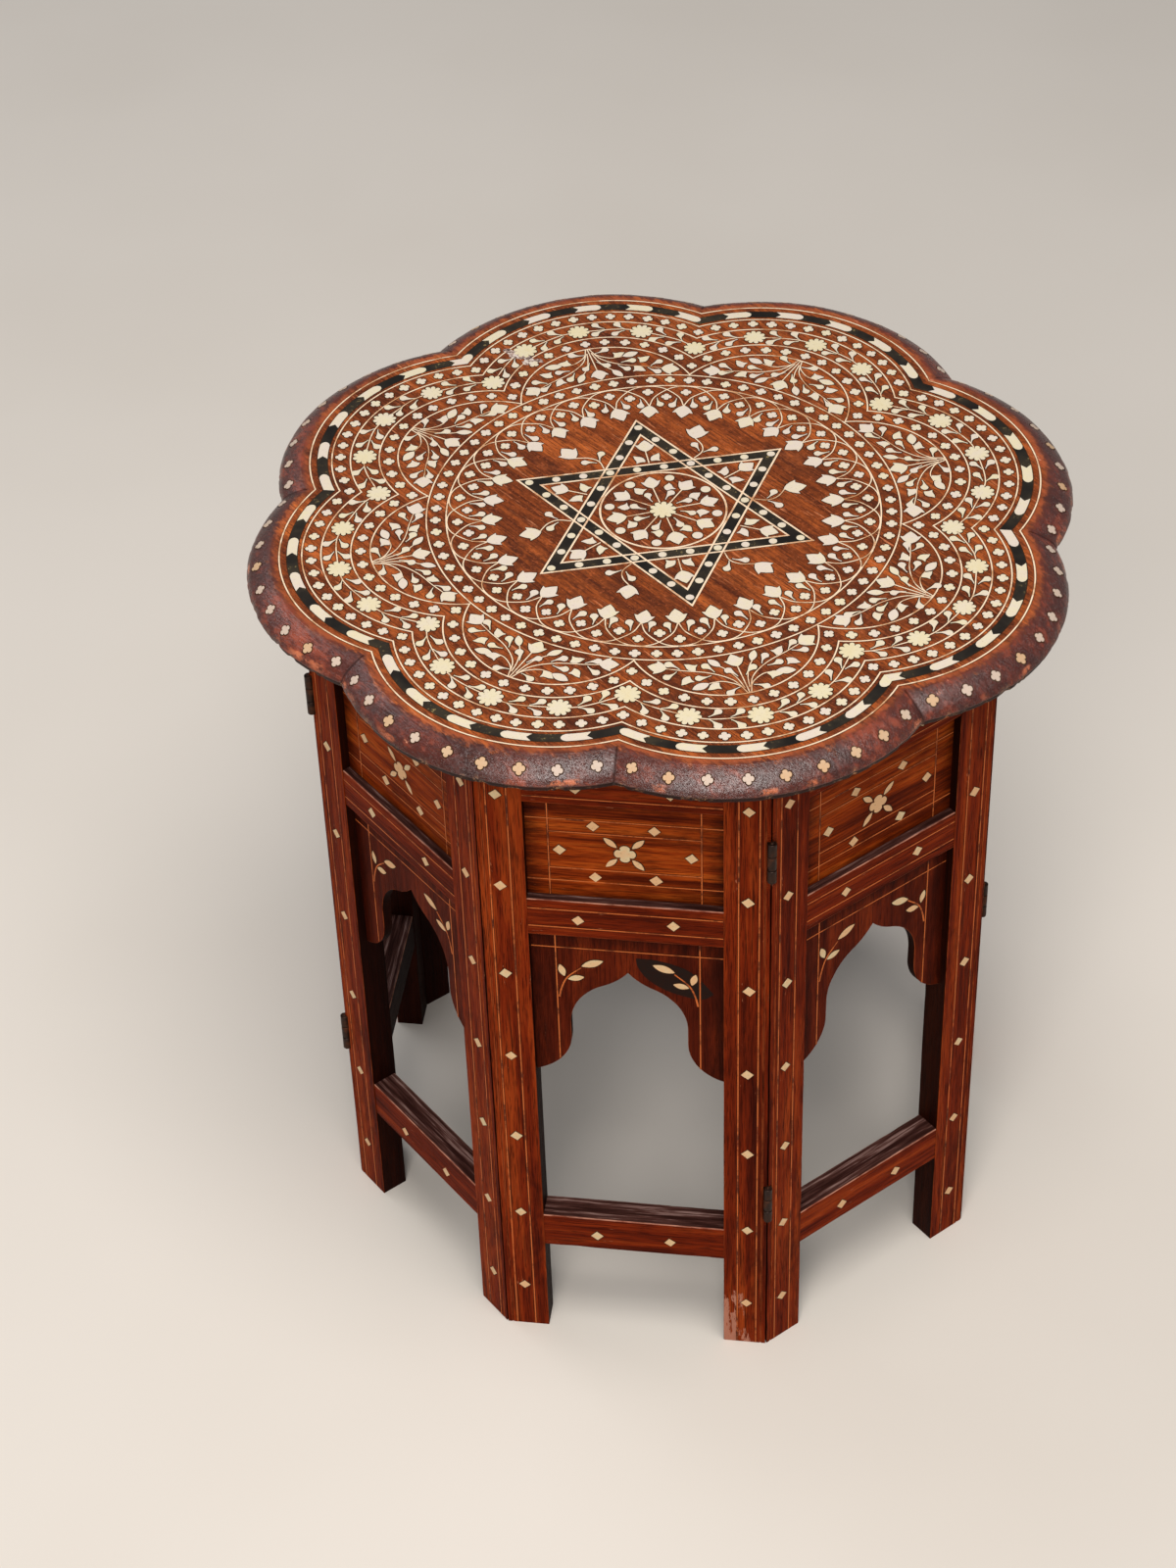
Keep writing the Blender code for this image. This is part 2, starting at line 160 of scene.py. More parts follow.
# Radii of the lobed lines, about the centres of the lobes
SPRAY_LINE = 45.9
VINE_LINES = (55.4, 70.0)
BORDER_LINES = (79.4, 90.5)
BORDER_STRIP = (81.6, 86.8)
OUTER_DOTS = (75.0, 14)
INNER_DOTS = (50.7, 12)
VINE_RADIUS = 62.7
VINE_ROSETTES = 4
BORDER_PAIRS = 42
BORDER_BONE_SHARE = 0.52
BORDER_FIRST_LOBE = 6

# Radii about the middle of the top
RING_LINE = 117.4
RING_DOTS_RADIUS = 112.8
RING_DOTS = 72
SCROLLS = 32
SCROLL_RING = 107.6
STAR_TIP = 78.6
STAR_TURN = radians(47)
STAR_BAND = 7.3
STAR_LINE = 0.95
STAR_DOTS = 9
MEDALLION_RADIUS = 31.3

# Sizes of the single inlays
DOT_SIZE = 2.75
DOT_NOTCH = 0.58
ROSETTE_SIZE = 6.0
ROSETTE_PETALS = 10
ROSETTE_NOTCH = 0.64
PETAL_STEPS = 8
COMMA_LENGTH = 7.8
COMMA_BULB = 2.05
COMMA_CURL = 2.8
COMMA_TAIL = 0.22
DISC_STEPS = 28
DIAMOND_SIZE = 3.1
CURVE_STEPS = 6

# Camera, fitted to the corners of the base and the cusps of the top
CAMERA_PLACE = Vector((167.96, -1327.24, 1424.65))
CAMERA_PAN = radians(9.016)
CAMERA_TILT = radians(-41.333)
CAMERA_ROLL = radians(2.059)
CAMERA_LENS = 77.11

RANDOM = random.Random(11)


def mitre_x(y):
    """Half width of a panel at depth y, up to its mitred edges."""
    return -y * tan(HALF_SIDE) - MITRE_GAP / 2 / cos(HALF_SIDE)


OPENING_HALF = mitre_x(OUTER_Y) - STILE_WIDTH


def polar(radius, angle):
    return Vector((radius * cos(angle), radius * sin(angle)))


def srgb(colour):
    """Linear colour of an 8-bit screen colour."""
    linear = []
    for value in colour:
        share = value / 255
        linear.append(share / 12.92 if share < 0.04045 else ((share + 0.055) / 1.055) ** 2.4)
    return (*linear, 1.0)


class Value:
    """Output of a node, with the sums that a material does with it."""

    def __init__(self, shader, socket):
        self.shader = shader
        self.socket = socket

    def __add__(self, other):
        return self.shader.math("ADD", self, other)

    def __sub__(self, other):
        return self.shader.math("SUBTRACT", self, other)

    def __mul__(self, other):
        return self.shader.math("MULTIPLY", self, other)

    def axis(self, name):
        return self.shader.node("ShaderNodeSeparateXYZ", {0: self}, name)

    def spread(self, low, high, start=0.0, stop=1.0):
        """Maps low to start and high to stop, smoothly and no further."""
        inputs = {0: self, 1: low, 2: high, 3: start, 4: stop}
        return self.shader.node("ShaderNodeMapRange", inputs, interpolation_type="SMOOTHSTEP")


class Shader:
    """A node material in the making, with the colour it has so far. Colours are 8-bit screen colours."""

    def __init__(self, name, turn=0.0):
        self.material = bpy.data.materials.new(name)
        self.material.use_nodes = True
        self.tree = self.material.node_tree
        self.turn = turn
        self.colour = None

    def fill(self, socket, value):
        """Links an output to a socket, or sets a constant on it."""
        if isinstance(value, Value):
            self.tree.links.new(value.socket, socket)
        else:
            socket.default_value = value

    def node(self, kind, inputs, output=0, **settings):
        made = self.tree.nodes.new(kind)
        for key, value in settings.items():
            setattr(made, key, value)
        for key, value in inputs.items():
            self.fill(made.inputs[key], value)
        return Value(self, made.outputs[output])

    def attribute(self, name):
        return self.node("ShaderNodeAttribute", {}, "Fac", attribute_name=name)

    def noise(self, scale, detail=4.0, rough=0.6, warp=0.0, shift=0.0):
        """Noise with its own grain size along each axis, turned to the grain and shifted by piece."""
        place = self.node("ShaderNodeTexCoord", {}, "Object")
        if self.turn:
            spin = {"Vector": place, "Angle": -self.turn}
            place = self.node("ShaderNodeVectorRotate", spin, rotation_type="Z_AXIS")
        place = self.node("ShaderNodeMapping", {"Vector": place, "Scale": scale})
        inputs = {"Vector": place, "W": shift, "Scale": 1.0, "Detail": detail, "Roughness": rough,
                  "Distortion": warp}
        return self.node("ShaderNodeTexNoise", inputs, "Fac", noise_dimensions="4D")

    def math(self, operation, first, second=0.0):
        return self.node("ShaderNodeMath", {0: first, 1: second}, operation=operation)

    def ramp(self, value, *stops):
        """Colours at evenly spaced stops."""
        made = self.node("ShaderNodeValToRGB", {"Fac": value}, "Color")
        elements = made.socket.node.color_ramp.elements
        elements.remove(elements[-1])
        for index, colour in enumerate(stops):
            spot = index / (len(stops) - 1)
            element = elements.new(spot) if index else elements[0]
            element.position = spot
            element.color = srgb(colour)
        return made

    def paint(self, value, *stops):
        self.colour = self.ramp(value, *stops)

    def coat(self, share, colour):
        """Lays a share of another colour over the one so far."""
        upper = colour if isinstance(colour, Value) else srgb(colour)
        self.colour = self.node("ShaderNodeMix", {0: share, 6: self.colour, 7: upper}, 2, data_type="RGBA")

    def bump(self, height, distance):
        return self.node("ShaderNodeBump", {"Height": height, "Distance": distance, "Strength": 1.0})

    def finish(self, roughness, **inputs):
        inputs.update(Base_Color=self.colour, Roughness=roughness)
        for name, value in inputs.items():
            self.fill(self.tree.nodes["Principled BSDF"].inputs[name.replace("_", " ")], value)
        return self.material


def wood_grain(shader, dark, middle, light, calm):
    """Paints rosewood with its grain along local X, and gives its height; a calmer one has weaker bands."""
    shift = shader.attribute("plank") * 40.0
    figure = shader.noise((4, 50, 50), 4.0, 0.6, 0.8, shift)
    band = shader.noise((9, 230, 230), 4.0, 0.6, 0.4, shift)
    streak = shader.noise((20, 760, 760), 4.0, 0.7, 0.2, shift)
    pits = shader.noise((90, 2400, 2400), 2.0, 0.5, 0.0, shift).spread(0.54, 0.66)
    tone = figure * 0.36 + band * 0.34 + streak * 0.30
    shader.paint(tone.spread(0.5 - calm, 0.5 + calm), dark, middle, light)
    shader.coat(streak.spread(0.53, 0.66, 0.0, 0.8), dark)
    shader.coat(pits * 0.7, dark)
    return streak - pits * 0.8


EDGE_DIRT_AND_SHADE = (34, 7, 3)
RUBBED_EDGE = (158, 74, 36)
NICK = (178, 110, 78)
GRIME = (22, 8, 4)
BARE_CHIP = (176, 118, 96)
PAINTED_INSIDE_SHADE = (15, 5, 3)
DUST_AND_SHEEN = ((44, 22, 18), (80, 50, 44), (152, 122, 114))
SCRAPED_AND_HIGHLIT_SILL = (184, 130, 108)


def edge_dirt_and_shade(shader, reach, scuff):
    """Darkens a framed board towards its edges, with dirt and painted shade from the frame round it; reach is
    its half length along each axis, in metres.
    """
    place = shader.node("ShaderNodeTexCoord", {}, "Object")
    shares = []
    for axis, half in zip("XZ", reach):
        shares.append(shader.math("DIVIDE", shader.math("ABSOLUTE", place.axis(axis)), half))
    share = shader.math("MAXIMUM", *shares) + scuff.spread(0.3, 0.7, -0.08, 0.08)
    # Dirt and painted shade towards the frame.
    shader.coat(share.spread(0.70, 1.02, 0.0, 0.85), EDGE_DIRT_AND_SHADE)


def plank_wood(name, dark, middle, light, calm, reach=None):
    """Waxed rosewood of the base: rubbed on its edges, dusty on its ledges with painted streaks of sheen,
    scraped along the ledges' front edges with a painted highlight, and painted dark as shade on every face
    not turned to the front.
    """
    shader = Shader(name)
    height = wood_grain(shader, dark, middle, light, calm)
    patch = shader.noise((14, 36, 36), 4.0, 0.65, 0.5)
    shader.coat(patch.spread(0.50, 0.70, 0.0, 0.7), dark)
    scuff = shader.noise((60, 300, 300), 4.0, 0.7)
    if reach:
        edge_dirt_and_shade(shader, reach, scuff)
    shader.coat(shader.attribute("wear") * scuff.spread(0.40, 0.62, 0.1, 0.85), RUBBED_EDGE)
    shader.coat(scuff.spread(0.66, 0.72) * patch.spread(0.46, 0.60, 0.7, 0.0), NICK)
    shader.coat(shader.attribute("grime"), GRIME)
    chipped = shader.attribute("scar") + scuff.spread(0.3, 0.7, -0.4, 0.4)
    shader.coat(chipped.spread(0.45, 0.6, 0.0, 0.9), BARE_CHIP)
    # Painted shade on every face not turned to the front: the inner faces and the side reveals.
    inward = shader.node("ShaderNodeTexCoord", {}, "Normal").axis("Y")
    shader.coat(inward.spread(-0.5, 0.0, 0.0, 0.92), PAINTED_INSIDE_SHADE)
    upward = shader.node("ShaderNodeNewGeometry", {}, "Normal").axis("Z")
    # Faces that look up: dust, with painted streaks of sheen at the light end of the ramp.
    dust_and_sheen = shader.noise((16, 420, 420), 4.0, 0.7)
    shader.coat(upward.spread(0.75, 0.95, 0.0, 0.95), shader.ramp(dust_and_sheen.spread(0.40, 0.68), *DUST_AND_SHEEN))
    # Front edges of the ledges: scraped wear with a painted highlight where the rounded edge turns up to the
    # light.
    sill = upward.spread(0.25, 0.5) * upward.spread(0.75, 0.95, 1.0, 0.0)
    shader.coat(sill * scuff.spread(0.36, 0.54, 0.2, 0.95), SCRAPED_AND_HIGHLIT_SILL)
    roughness = height.spread(0.2, 0.8, 0.58, 0.46)
    return shader.finish(roughness, Normal=shader.bump(height, 0.00014), Specular_IOR_Level=0.025)


DARK_PATCH = (62, 26, 14)
PALE_PATCH = (186, 100, 54)
SCRATCH = (206, 128, 86)
SPECKLE = (70, 33, 16)
DARK_GRIT = (64, 29, 16)
PALE_GRIT = (188, 98, 58)
RUBBED_MARGIN = (154, 75, 40)
RIM_WOOD = ((46, 14, 8), (82, 30, 17), (146, 62, 33))
RIM_SHADE = (30, 12, 8)
RIM_FLECK = (206, 150, 108)
RIM_SCRAPE = (190, 104, 66)
RIM_NICK = (196, 124, 94)


def top_wood():
    """Rosewood of the top, worn orange outside the border, dark and polished on its rim, with painted shade
    under the lip and along the creases at the cusps.
    """
    shader = Shader("top_rosewood", GRAIN_ANGLE)
    height = wood_grain(shader, (58, 20, 7), (132, 62, 23), (200, 104, 44), 0.175)
    margin = shader.attribute("margin")
    rim = shader.attribute("rim")
    under = shader.attribute("under")
    patch = shader.noise((16, 34, 34), 5.0, 0.7, 0.8)
    pale = shader.noise((40, 110, 110), 4.0, 0.7)
    scratch = shader.noise((45, 700, 700), 3.0, 0.6)
    speckle = shader.noise((120, 260, 260), 4.0, 0.7)
    grit = shader.noise((380, 620, 620), 4.0, 0.7, 1.2)
    shader.coat(patch.spread(0.48, 0.66, 0.0, 0.75), DARK_PATCH)
    shader.coat(pale.spread(0.56, 0.72, 0.0, 0.4), PALE_PATCH)
    shader.coat(scratch.spread(0.58, 0.66) * patch.spread(0.52, 0.40, 0.0, 0.75), SCRATCH)
    shader.coat(speckle.spread(0.50, 0.66, 0.0, 0.55), SPECKLE)
    shader.coat(grit.spread(0.52, 0.64, 0.0, 0.5), DARK_GRIT)
    shader.coat(grit.spread(0.46, 0.34, 0.0, 0.4), PALE_GRIT)
    shader.coat(margin * pale.spread(0.40, 0.60, 0.05, 0.95), RUBBED_MARGIN)
    ragged = rim + speckle.spread(0.3, 0.7, -0.35, 0.35)
    rim_tone = patch * 0.6 + speckle * 0.4
    shader.coat(ragged.spread(0.3, 0.8), shader.ramp(rim_tone.spread(0.36, 0.68), *RIM_WOOD))
    # Painted shade under the lip and along the creases at the cusps.
    shader.coat(under * 0.9, RIM_SHADE)
    shader.coat(shader.attribute("wear") * grit.spread(0.50, 0.58), RIM_FLECK)
    shader.coat(shader.attribute("scrape") * speckle.spread(0.40, 0.55), RIM_SCRAPE)
    shader.coat(pale.spread(0.66, 0.70) * (rim + margin), RIM_NICK)
    polish = rim - under
    roughness = speckle.spread(0.3, 0.7, 0.50, 0.62) - polish * 0.30
    relief = height + rim * (grit * 1.6 + patch * 2.4)
    sheen = polish * 0.6 + 0.12
    return shader.finish(roughness, Normal=shader.bump(relief, 0.00018), Specular_IOR_Level=sheen)


def bone(name, *stops):
    """Bone, from white through cream to tan by each piece's tone, with fine dark pores."""
    shader = Shader(name)
    cloud = shader.noise((240, 240, 240), 3.0, 0.6)
    shader.paint(shader.attribute("tone") + cloud.spread(0.3, 0.7, -0.12, 0.12), *stops)
    pores = shader.noise((900, 2600, 900), 2.0, 0.5)
    shader.coat(pores.spread(0.60, 0.72, 0.0, 0.45), (150, 112, 70))
    roughness = cloud.spread(0.3, 0.7, 0.45, 0.6)
    return shader.finish(roughness, Normal=shader.bump(pores, 0.00004), Specular_IOR_Level=0.2)


def stringing(name, pale, deep):
    """Thin light lines, darker where they are rubbed."""
    shader = Shader(name)
    rub = shader.noise((60, 60, 60), 4.0, 0.7)
    shader.paint(rub.spread(0.36, 0.66), pale, pale, deep)
    return shader.finish(rub.spread(0.3, 0.7, 0.5, 0.65), Specular_IOR_Level=0.15)


def ebony():
    """Black wood with brown flecks and dry patches."""
    shader = Shader("ebony")
    fleck = shader.noise((600, 600, 600), 3.0, 0.6)
    dry = shader.noise((45, 45, 45), 3.0, 0.6)
    shader.paint(dry.spread(0.3, 0.7), (20, 16, 13), (34, 29, 23), (52, 44, 32))
    shader.coat(fleck.spread(0.58, 0.70) * dry.spread(0.48, 0.62), (134, 116, 74))
    roughness = fleck.spread(0.3, 0.7, 0.5, 0.65)
    return shader.finish(roughness, Normal=shader.bump(fleck, 0.00004), Specular_IOR_Level=0.15)


def mastic(name, *stops):
    """Dark gritty mastic, as in the joints round the inlay."""
    shader = Shader(name)
    grit = shader.noise((500, 500, 500), 3.0, 0.6)
    shader.paint(grit, *stops)
    return shader.finish(grit.spread(0.3, 0.7, 0.6, 0.75), Specular_IOR_Level=0.1)


def scuffed():
    """Raw, greyish place where the polish and some of the wood are torn off."""
    shader = Shader("scuffed")
    tear = shader.noise((420, 420, 420), 4.0, 0.7, 0.8)
    shader.paint(tear.spread(0.40, 0.62), (52, 34, 28), (146, 120, 108), (204, 190, 178))
    return shader.finish(tear.spread(0.3, 0.7, 0.7, 0.9), Normal=shader.bump(tear, 0.0002))


def iron():
    """Dark hinge iron with rubbed and rusty places."""
    shader = Shader("hinge_iron")
    rust = shader.noise((160, 160, 160), 5.0, 0.7)
    shader.paint(rust.spread(0.35, 0.7), (36, 21, 14), (58, 36, 25), (98, 56, 34))
    roughness = rust.spread(0.35, 0.65, 0.42, 0.75)
    return shader.finish(roughness, Normal=shader.bump(rust, 0.00012), Metallic=0.75)


def floor_paint():
    """Plain pale floor, a little uneven."""
    shader = Shader("pale_floor")
    cloud = shader.noise((3, 3, 3), 3.0, 0.5)
    shader.paint(cloud, (212, 203, 192), (218, 210, 200), (222, 214, 205))
    return shader.finish(cloud.spread(0.3, 0.7, 0.62, 0.7))


FRAME_WOOD = plank_wood("frame_rosewood", (42, 6, 2), (112, 33, 6), (154, 62, 19), 0.145)
INSET_WOOD = plank_wood("inset_rosewood", (60, 12, 2), (140, 51, 8), (184, 86, 25), 0.13, (0.050, 0.034))
# The arch boards are darker than the insets: partly dirt, partly painted shade from the rails round them.
DIRTY_SHADED_ARCH_WOOD = plank_wood("arch_rosewood_dirty_and_shaded", (50, 10, 3), (92, 28, 8), (124, 46, 15), 0.16, (0.066, 0.050))
TOP_WOOD = top_wood()
BONE = bone("bone", (205, 191, 177), (207, 195, 165), (206, 191, 151), (216, 170, 124))
# Bone of the rim's dots, dimmer than on the top: some dirt and painted shade, as the slope takes more light
# than the flat.
SHADED_RIM_BONE = bone("shaded_rim_bone", (190, 170, 154), (190, 163, 134), (190, 152, 114))
SCUFF = scuffed()
TOP_STRING = stringing("pale_stringing", (226, 200, 170), (184, 132, 90))
PANEL_STRING = stringing("orange_stringing", (196, 98, 42), (92, 34, 14))
EBONY = ebony()
FILLER = mastic("filler", (34, 17, 5), (52, 28, 9), (70, 38, 14))
OLD_REPAIR = mastic("old_repair", (18, 6, 3), (28, 11, 5), (46, 18, 8))
IRON = iron()


def add_object(name, data):
    made = bpy.data.objects.new(name, data)
    bpy.context.scene.collection.objects.link(made)
    return made


def add_piece(name, mesh, material, place, body, stands_for=()):
    """One named object that rides on a body and takes the place of its CAD nodes."""
    mesh.materials.append(material)
    piece = add_object(name, mesh)
    piece.matrix_world = place
    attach(piece, body)
    if stands_for:
        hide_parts(*stands_for)
    return piece


def finished_mesh(bm, name):
    bmesh.ops.recalc_face_normals(bm, faces=bm.faces)
    mesh = bpy.data.meshes.new(name)
    bm.to_mesh(mesh)
    bm.free()
    return mesh


def to_metres(bm):
    bmesh.ops.scale(bm, vec=(MM, MM, MM), verts=bm.verts)


def new_layer(bm, name, value=0.0):
    """A number on each vertex, which a material reads by this name."""
    layer = bm.verts.layers.float.new(name)
    for vert in bm.verts:
        vert[layer] = value
    return layer


def bridge(bm, row, other, closed=True):
    """Faces between two rows of vertices."""
    for index in range(0 if closed else 1, len(row)):
        bm.faces.new((row[index - 1], row[index], other[index], other[index - 1]))


def skin(bm, rows):
    """Closed solid through loops of vertices, with a flat cap at each end."""
    bm.faces.new(rows[0])
    bm.faces.new(reversed(rows[-1]))
    for row, other in zip(rows, rows[1:]):
        bridge(bm, row, other)


# Outlines

def smooth(points):
    """Curve through the given points."""
    path = [Vector(point) for point in points]
    ends = [2 * path[0] - path[1]] + path + [2 * path[-1] - path[-2]]
    curve = []
    for before, start, stop, after in zip(ends, ends[1:], ends[2:], ends[3:]):
        for step in range(CURVE_STEPS):
            t = step / CURVE_STEPS
            bend = (2 * before - 5 * start + 4 * stop - after) * t * t
            twist = (3 * start - before - 3 * stop + after) * t ** 3
            curve.append((2 * start + (stop - before) * t + bend + twist) / 2)
    return curve + [path[-1]]


def sides_of(path, half_widths):
    """Points to the left and to the right of a path."""
    left = []
    right = []
    for index, point in enumerate(path):
        ahead = path[min(index + 1, len(path) - 1)] - path[max(index - 1, 0)]
        across = Vector((-ahead.y, ahead.x)).normalized()
        left.append(point + across * half_widths[index])
        right.append(point - across * half_widths[index])
    return left, right


def turned(outline, at, heading, size=1.0):
    """Outline whose +Y is turned to a heading and whose origin is moved to a place."""
    spin = Matrix.Rotation(heading - pi / 2, 2)
    return [at + spin @ (point * size) for point in outline]


def mirrored(outline):
    return [Vector((-point.x, point.y)) for point in reversed(outline)]


def grown(outline, margin):
    """Outline moved outwards by a margin."""
    count = len(outline)
    area = sum(outline[i - 1].cross(outline[i]) for i in range(count))
    side = 1 if area > 0 else -1
    moved = []
    for index, point in enumerate(outline):
        ahead = (outline[(index + 1) % count] - outline[index - 1]).normalized()
        moved.append(point + side * margin * Vector((ahead.y, -ahead.x)))
    return moved


def circle(radius, count=2 * LOBE_STEPS):
    return [polar(radius, 2 * pi * step / count) for step in range(count)]


def flower(radius, petals=4, notch=DOT_NOTCH):
    """Outline of round petals; the notches between them reach a share of the radius."""
    points = []
    for petal in range(petals):
        for step in range(PETAL_STEPS):
            turn = (2 * step / PETAL_STEPS - 1) * pi / petals
            reach = notch + (1 - notch) * sqrt(max(0.0, cos(petals * turn / 2)))
            points.append(polar(radius * reach, 2 * pi * petal / petals + turn))
    return points


def rosette(radius):
    return flower(radius, ROSETTE_PETALS, ROSETTE_NOTCH)


def comma(side):
    """Round bulb ahead of a thin tail that starts at the origin and bends to one side."""
    steps = 4 * CURVE_STEPS
    path = []
    halves = []
    for step in range(steps + 1):
        share = step / steps
        along = COMMA_LENGTH * share
        path.append(Vector((side * COMMA_CURL * share * share, along)))
        left = COMMA_LENGTH - along
        if left < COMMA_BULB:
            halves.append(sqrt(max(0.0, COMMA_BULB * COMMA_BULB - (COMMA_BULB - left) ** 2)))
        else:
            taper = (along / (COMMA_LENGTH - COMMA_BULB)) ** 3
            halves.append(COMMA_TAIL + (COMMA_BULB - COMMA_TAIL) * taper)
    left, right = sides_of(path, halves)
    return right[:-1] + [path[-1]] + left[-2::-1]


def two_sided(edge, length):
    """Leaf from its right edge, pointed at both ends."""
    return [Vector((0, 0))] + edge + [Vector((0, length))] + mirrored(edge)


def oval_leaf(length, width):
    steps = 2 * CURVE_STEPS
    shares = [step / steps for step in range(1, steps)]
    edge = [Vector((width / 2 * sin(pi * share) ** 0.85, length * share)) for share in shares]
    return two_sided(edge, length)


IVY_EDGE = ((0.12, 0.05), (0.31, 0.17), (0.45, 0.33), (0.61, 0.60), (0.41, 0.57), (0.34, 0.66), (0.25, 0.78),
            (0.12, 0.90))
BARBED_EDGE = ((0.0, 0.0), (0.14, 0.12), (0.30, 0.24), (0.62, 0.34), (0.40, 0.46), (0.31, 0.58), (0.19, 0.78),
               (-0.06, 1.0), (-0.15, 0.80), (-0.28, 0.58), (-0.31, 0.36), (-0.18, 0.13))


def ivy_leaf(length, width):
    """Leaf with a pointed tip and a barb on each shoulder."""
    return two_sided([Vector((x * width, y * length)) for x, y in IVY_EDGE], length)


def barbed_leaf(length, width, side=-1):
    """Small leaf with one barb, to its right or, for a side above 0, to its left."""
    outline = [Vector((x * width, y * length)) for x, y in BARBED_EDGE]
    return mirrored(outline) if side > 0 else outline


class Marquetry:
    """The inlay of one body: thin closed pieces, gathered in one mesh for each material."""

    def __init__(self):
        self.surface = None
        self.meshes = {}

    def corners(self, kind, outline, lift, tone):
        if kind not in self.meshes:
            self.meshes[kind] = bmesh.new()
            new_layer(self.meshes[kind], "tone")
        bm = self.meshes[kind]
        layer = bm.verts.layers.float["tone"]
        verts = []
        for point in outline:
            vert = bm.verts.new(self.surface(point, lift) * MM)
            vert[layer] = tone
            verts.append(vert)
        return verts

    def tile(self, kind, outline, lift, tone=0.0):
        """One flat piece of any outline."""
        lift += RANDOM.uniform(0, LIFT_SPREAD)
        rows = [self.corners(kind, outline, height, tone) for height in (lift, -INLAY_DEPTH)]
        skin(self.meshes[kind], rows)

    def band(self, kind, first, second, lift, closed=True):
        """A strip between two rows of points, with square ends where it isn't closed."""
        lift += RANDOM.uniform(0, LIFT_SPREAD)
        edges = ((first, lift), (second, lift), (second, -INLAY_DEPTH), (first, -INLAY_DEPTH))
        rows = [self.corners(kind, points, height, 0.0) for points, height in edges]
        bm = self.meshes[kind]
        for row, other in zip(rows, rows[1:] + rows[:1]):
            bridge(bm, row, other, closed)
        if not closed:
            bm.faces.new([row[0] for row in rows])
            bm.faces.new([row[-1] for row in rows])

    def line(self, path, width, taper=1.0):
        """A thin light line along a path, with filler on both sides."""
        last = len(path) - 1
        halves = [width / 2 * (1 + (taper - 1) * index / last) for index in range(last + 1)]
        for kind, lift, margin in LINE_LAYERS:
            self.band(kind, *sides_of(path, [half + margin for half in halves]), lift, False)

    def ring(self, loop, radius, width):
        """A closed light line, from a function that gives the points of a loop for a radius."""
        for kind, lift, margin in LINE_LAYERS:
            half = width / 2 + margin
            self.band(kind, loop(radius - half), loop(radius + half), lift)

    def stamp(self, outline, at, heading, tone, swing=3.0, stray=0.15, kind="bone"):
        """One bone piece, set by hand and so never quite true."""
        spot = at + Vector((RANDOM.uniform(-stray, stray), RANDOM.uniform(-stray, stray)))
        lean = heading + radians(RANDOM.uniform(-swing, swing))
        shape = turned(outline, spot, lean, RANDOM.uniform(0.95, 1.05))
        self.tile(kind, shape, BONE_LIFT, tone + RANDOM.uniform(-0.12, 0.12))
        self.tile("filler", grown(shape, FILLER_MARGIN), FILLER_LIFT)

    def finish(self, prefix, body, place, materials, stands_for):
        """Makes the pieces, each with its material and the CAD nodes that it stands for."""
        for kind, bm in self.meshes.items():
            material, slot = materials[kind]
            name = f"{prefix}_{kind}"
            add_piece(name, finished_mesh(bm, name), material, place, body, stands_for.get(kind, ()))


# Planks of the base

def prism(outline, start, stop, place):
    """Closed prism of an outline swept in even sections; place turns (u, v, along) to a point."""
    bm = bmesh.new()
    sections = max(1, round((stop - start) / SECTION_LENGTH))
    rows = []
    for step in range(sections + 1):
        along = start + (stop - start) * step / sections
        rows.append([bm.verts.new(place(u, v, along)) for u, v in outline])
    skin(bm, rows)
    return bm


def soften(bm, arris):
    """Rounds the outer edges and marks the rubbed edges and the dirty grooves."""
    bmesh.ops.recalc_face_normals(bm, faces=bm.faces)
    edges = [edge for edge in bm.edges if edge.calc_face_angle_signed() > SHARP_ANGLE]
    bmesh.ops.bevel(bm, geom=edges, offset=arris, offset_type="OFFSET", segments=2, profile=0.5,
                    affect="EDGES", clamp_overlap=True)
    wear = new_layer(bm, "wear")
    grime = new_layer(bm, "grime")
    for vert in bm.verts:
        narrow = all(face.calc_area() < 1.2 * arris * max(edge.calc_length() for edge in face.edges)
                     for face in vert.link_faces)
        hollow = any(edge.calc_face_angle_signed() < -SHARP_ANGLE for edge in vert.link_edges)
        vert[wear] = float(narrow and not hollow)
        vert[grime] = float(hollow)
    return wear, grime


def roughen(bm):
    """Slight hand-planed waves, with small nicks along the rubbed edges."""
    wear = bm.verts.layers.float["wear"]
    shift = Vector((RANDOM.uniform(0, 500), RANDOM.uniform(0, 500), RANDOM.uniform(0, 500)))
    bm.normal_update()
    for vert in bm.verts:
        wave = PLANED[0] * noise.noise(vert.co / PLANED[1] + shift)
        nick = max(0.0, noise.noise(vert.co / NICKED[1] + shift) - NICK_START) * vert[wear]
        vert.co += vert.normal * (wave - NICKED[0] * nick)


def panel_turn(index):
    return Matrix.Rotation(index * SIDE_ANGLE, 4, "Z")


def plank(index, part, bm, centre, upright, material, node, cutter=None):
    """A board with its grain along its own X, worn and then set in its place in a panel."""
    panel = PANELS[index]
    name = f"{panel}_{part}"
    roughen(bm)
    new_layer(bm, "plank", RANDOM.random())
    seat = Matrix.Translation(Vector(centre) * MM)
    if upright:
        seat = seat @ Matrix.Rotation(-pi / 2, 4, "Y")
    to_metres(bm)
    if cutter:
        bm = cut_away(bm, cutter)
    bmesh.ops.transform(bm, matrix=seat.inverted(), verts=bm.verts)
    mesh = finished_mesh(bm, name)
    mesh.shade_smooth()
    piece = add_piece(name, mesh, material, panel_turn(index) @ seat, panel, (f"{panel}_{node}",))
    piece.modifiers.new("weighted_normals", "WEIGHTED_NORMAL").weight = 80


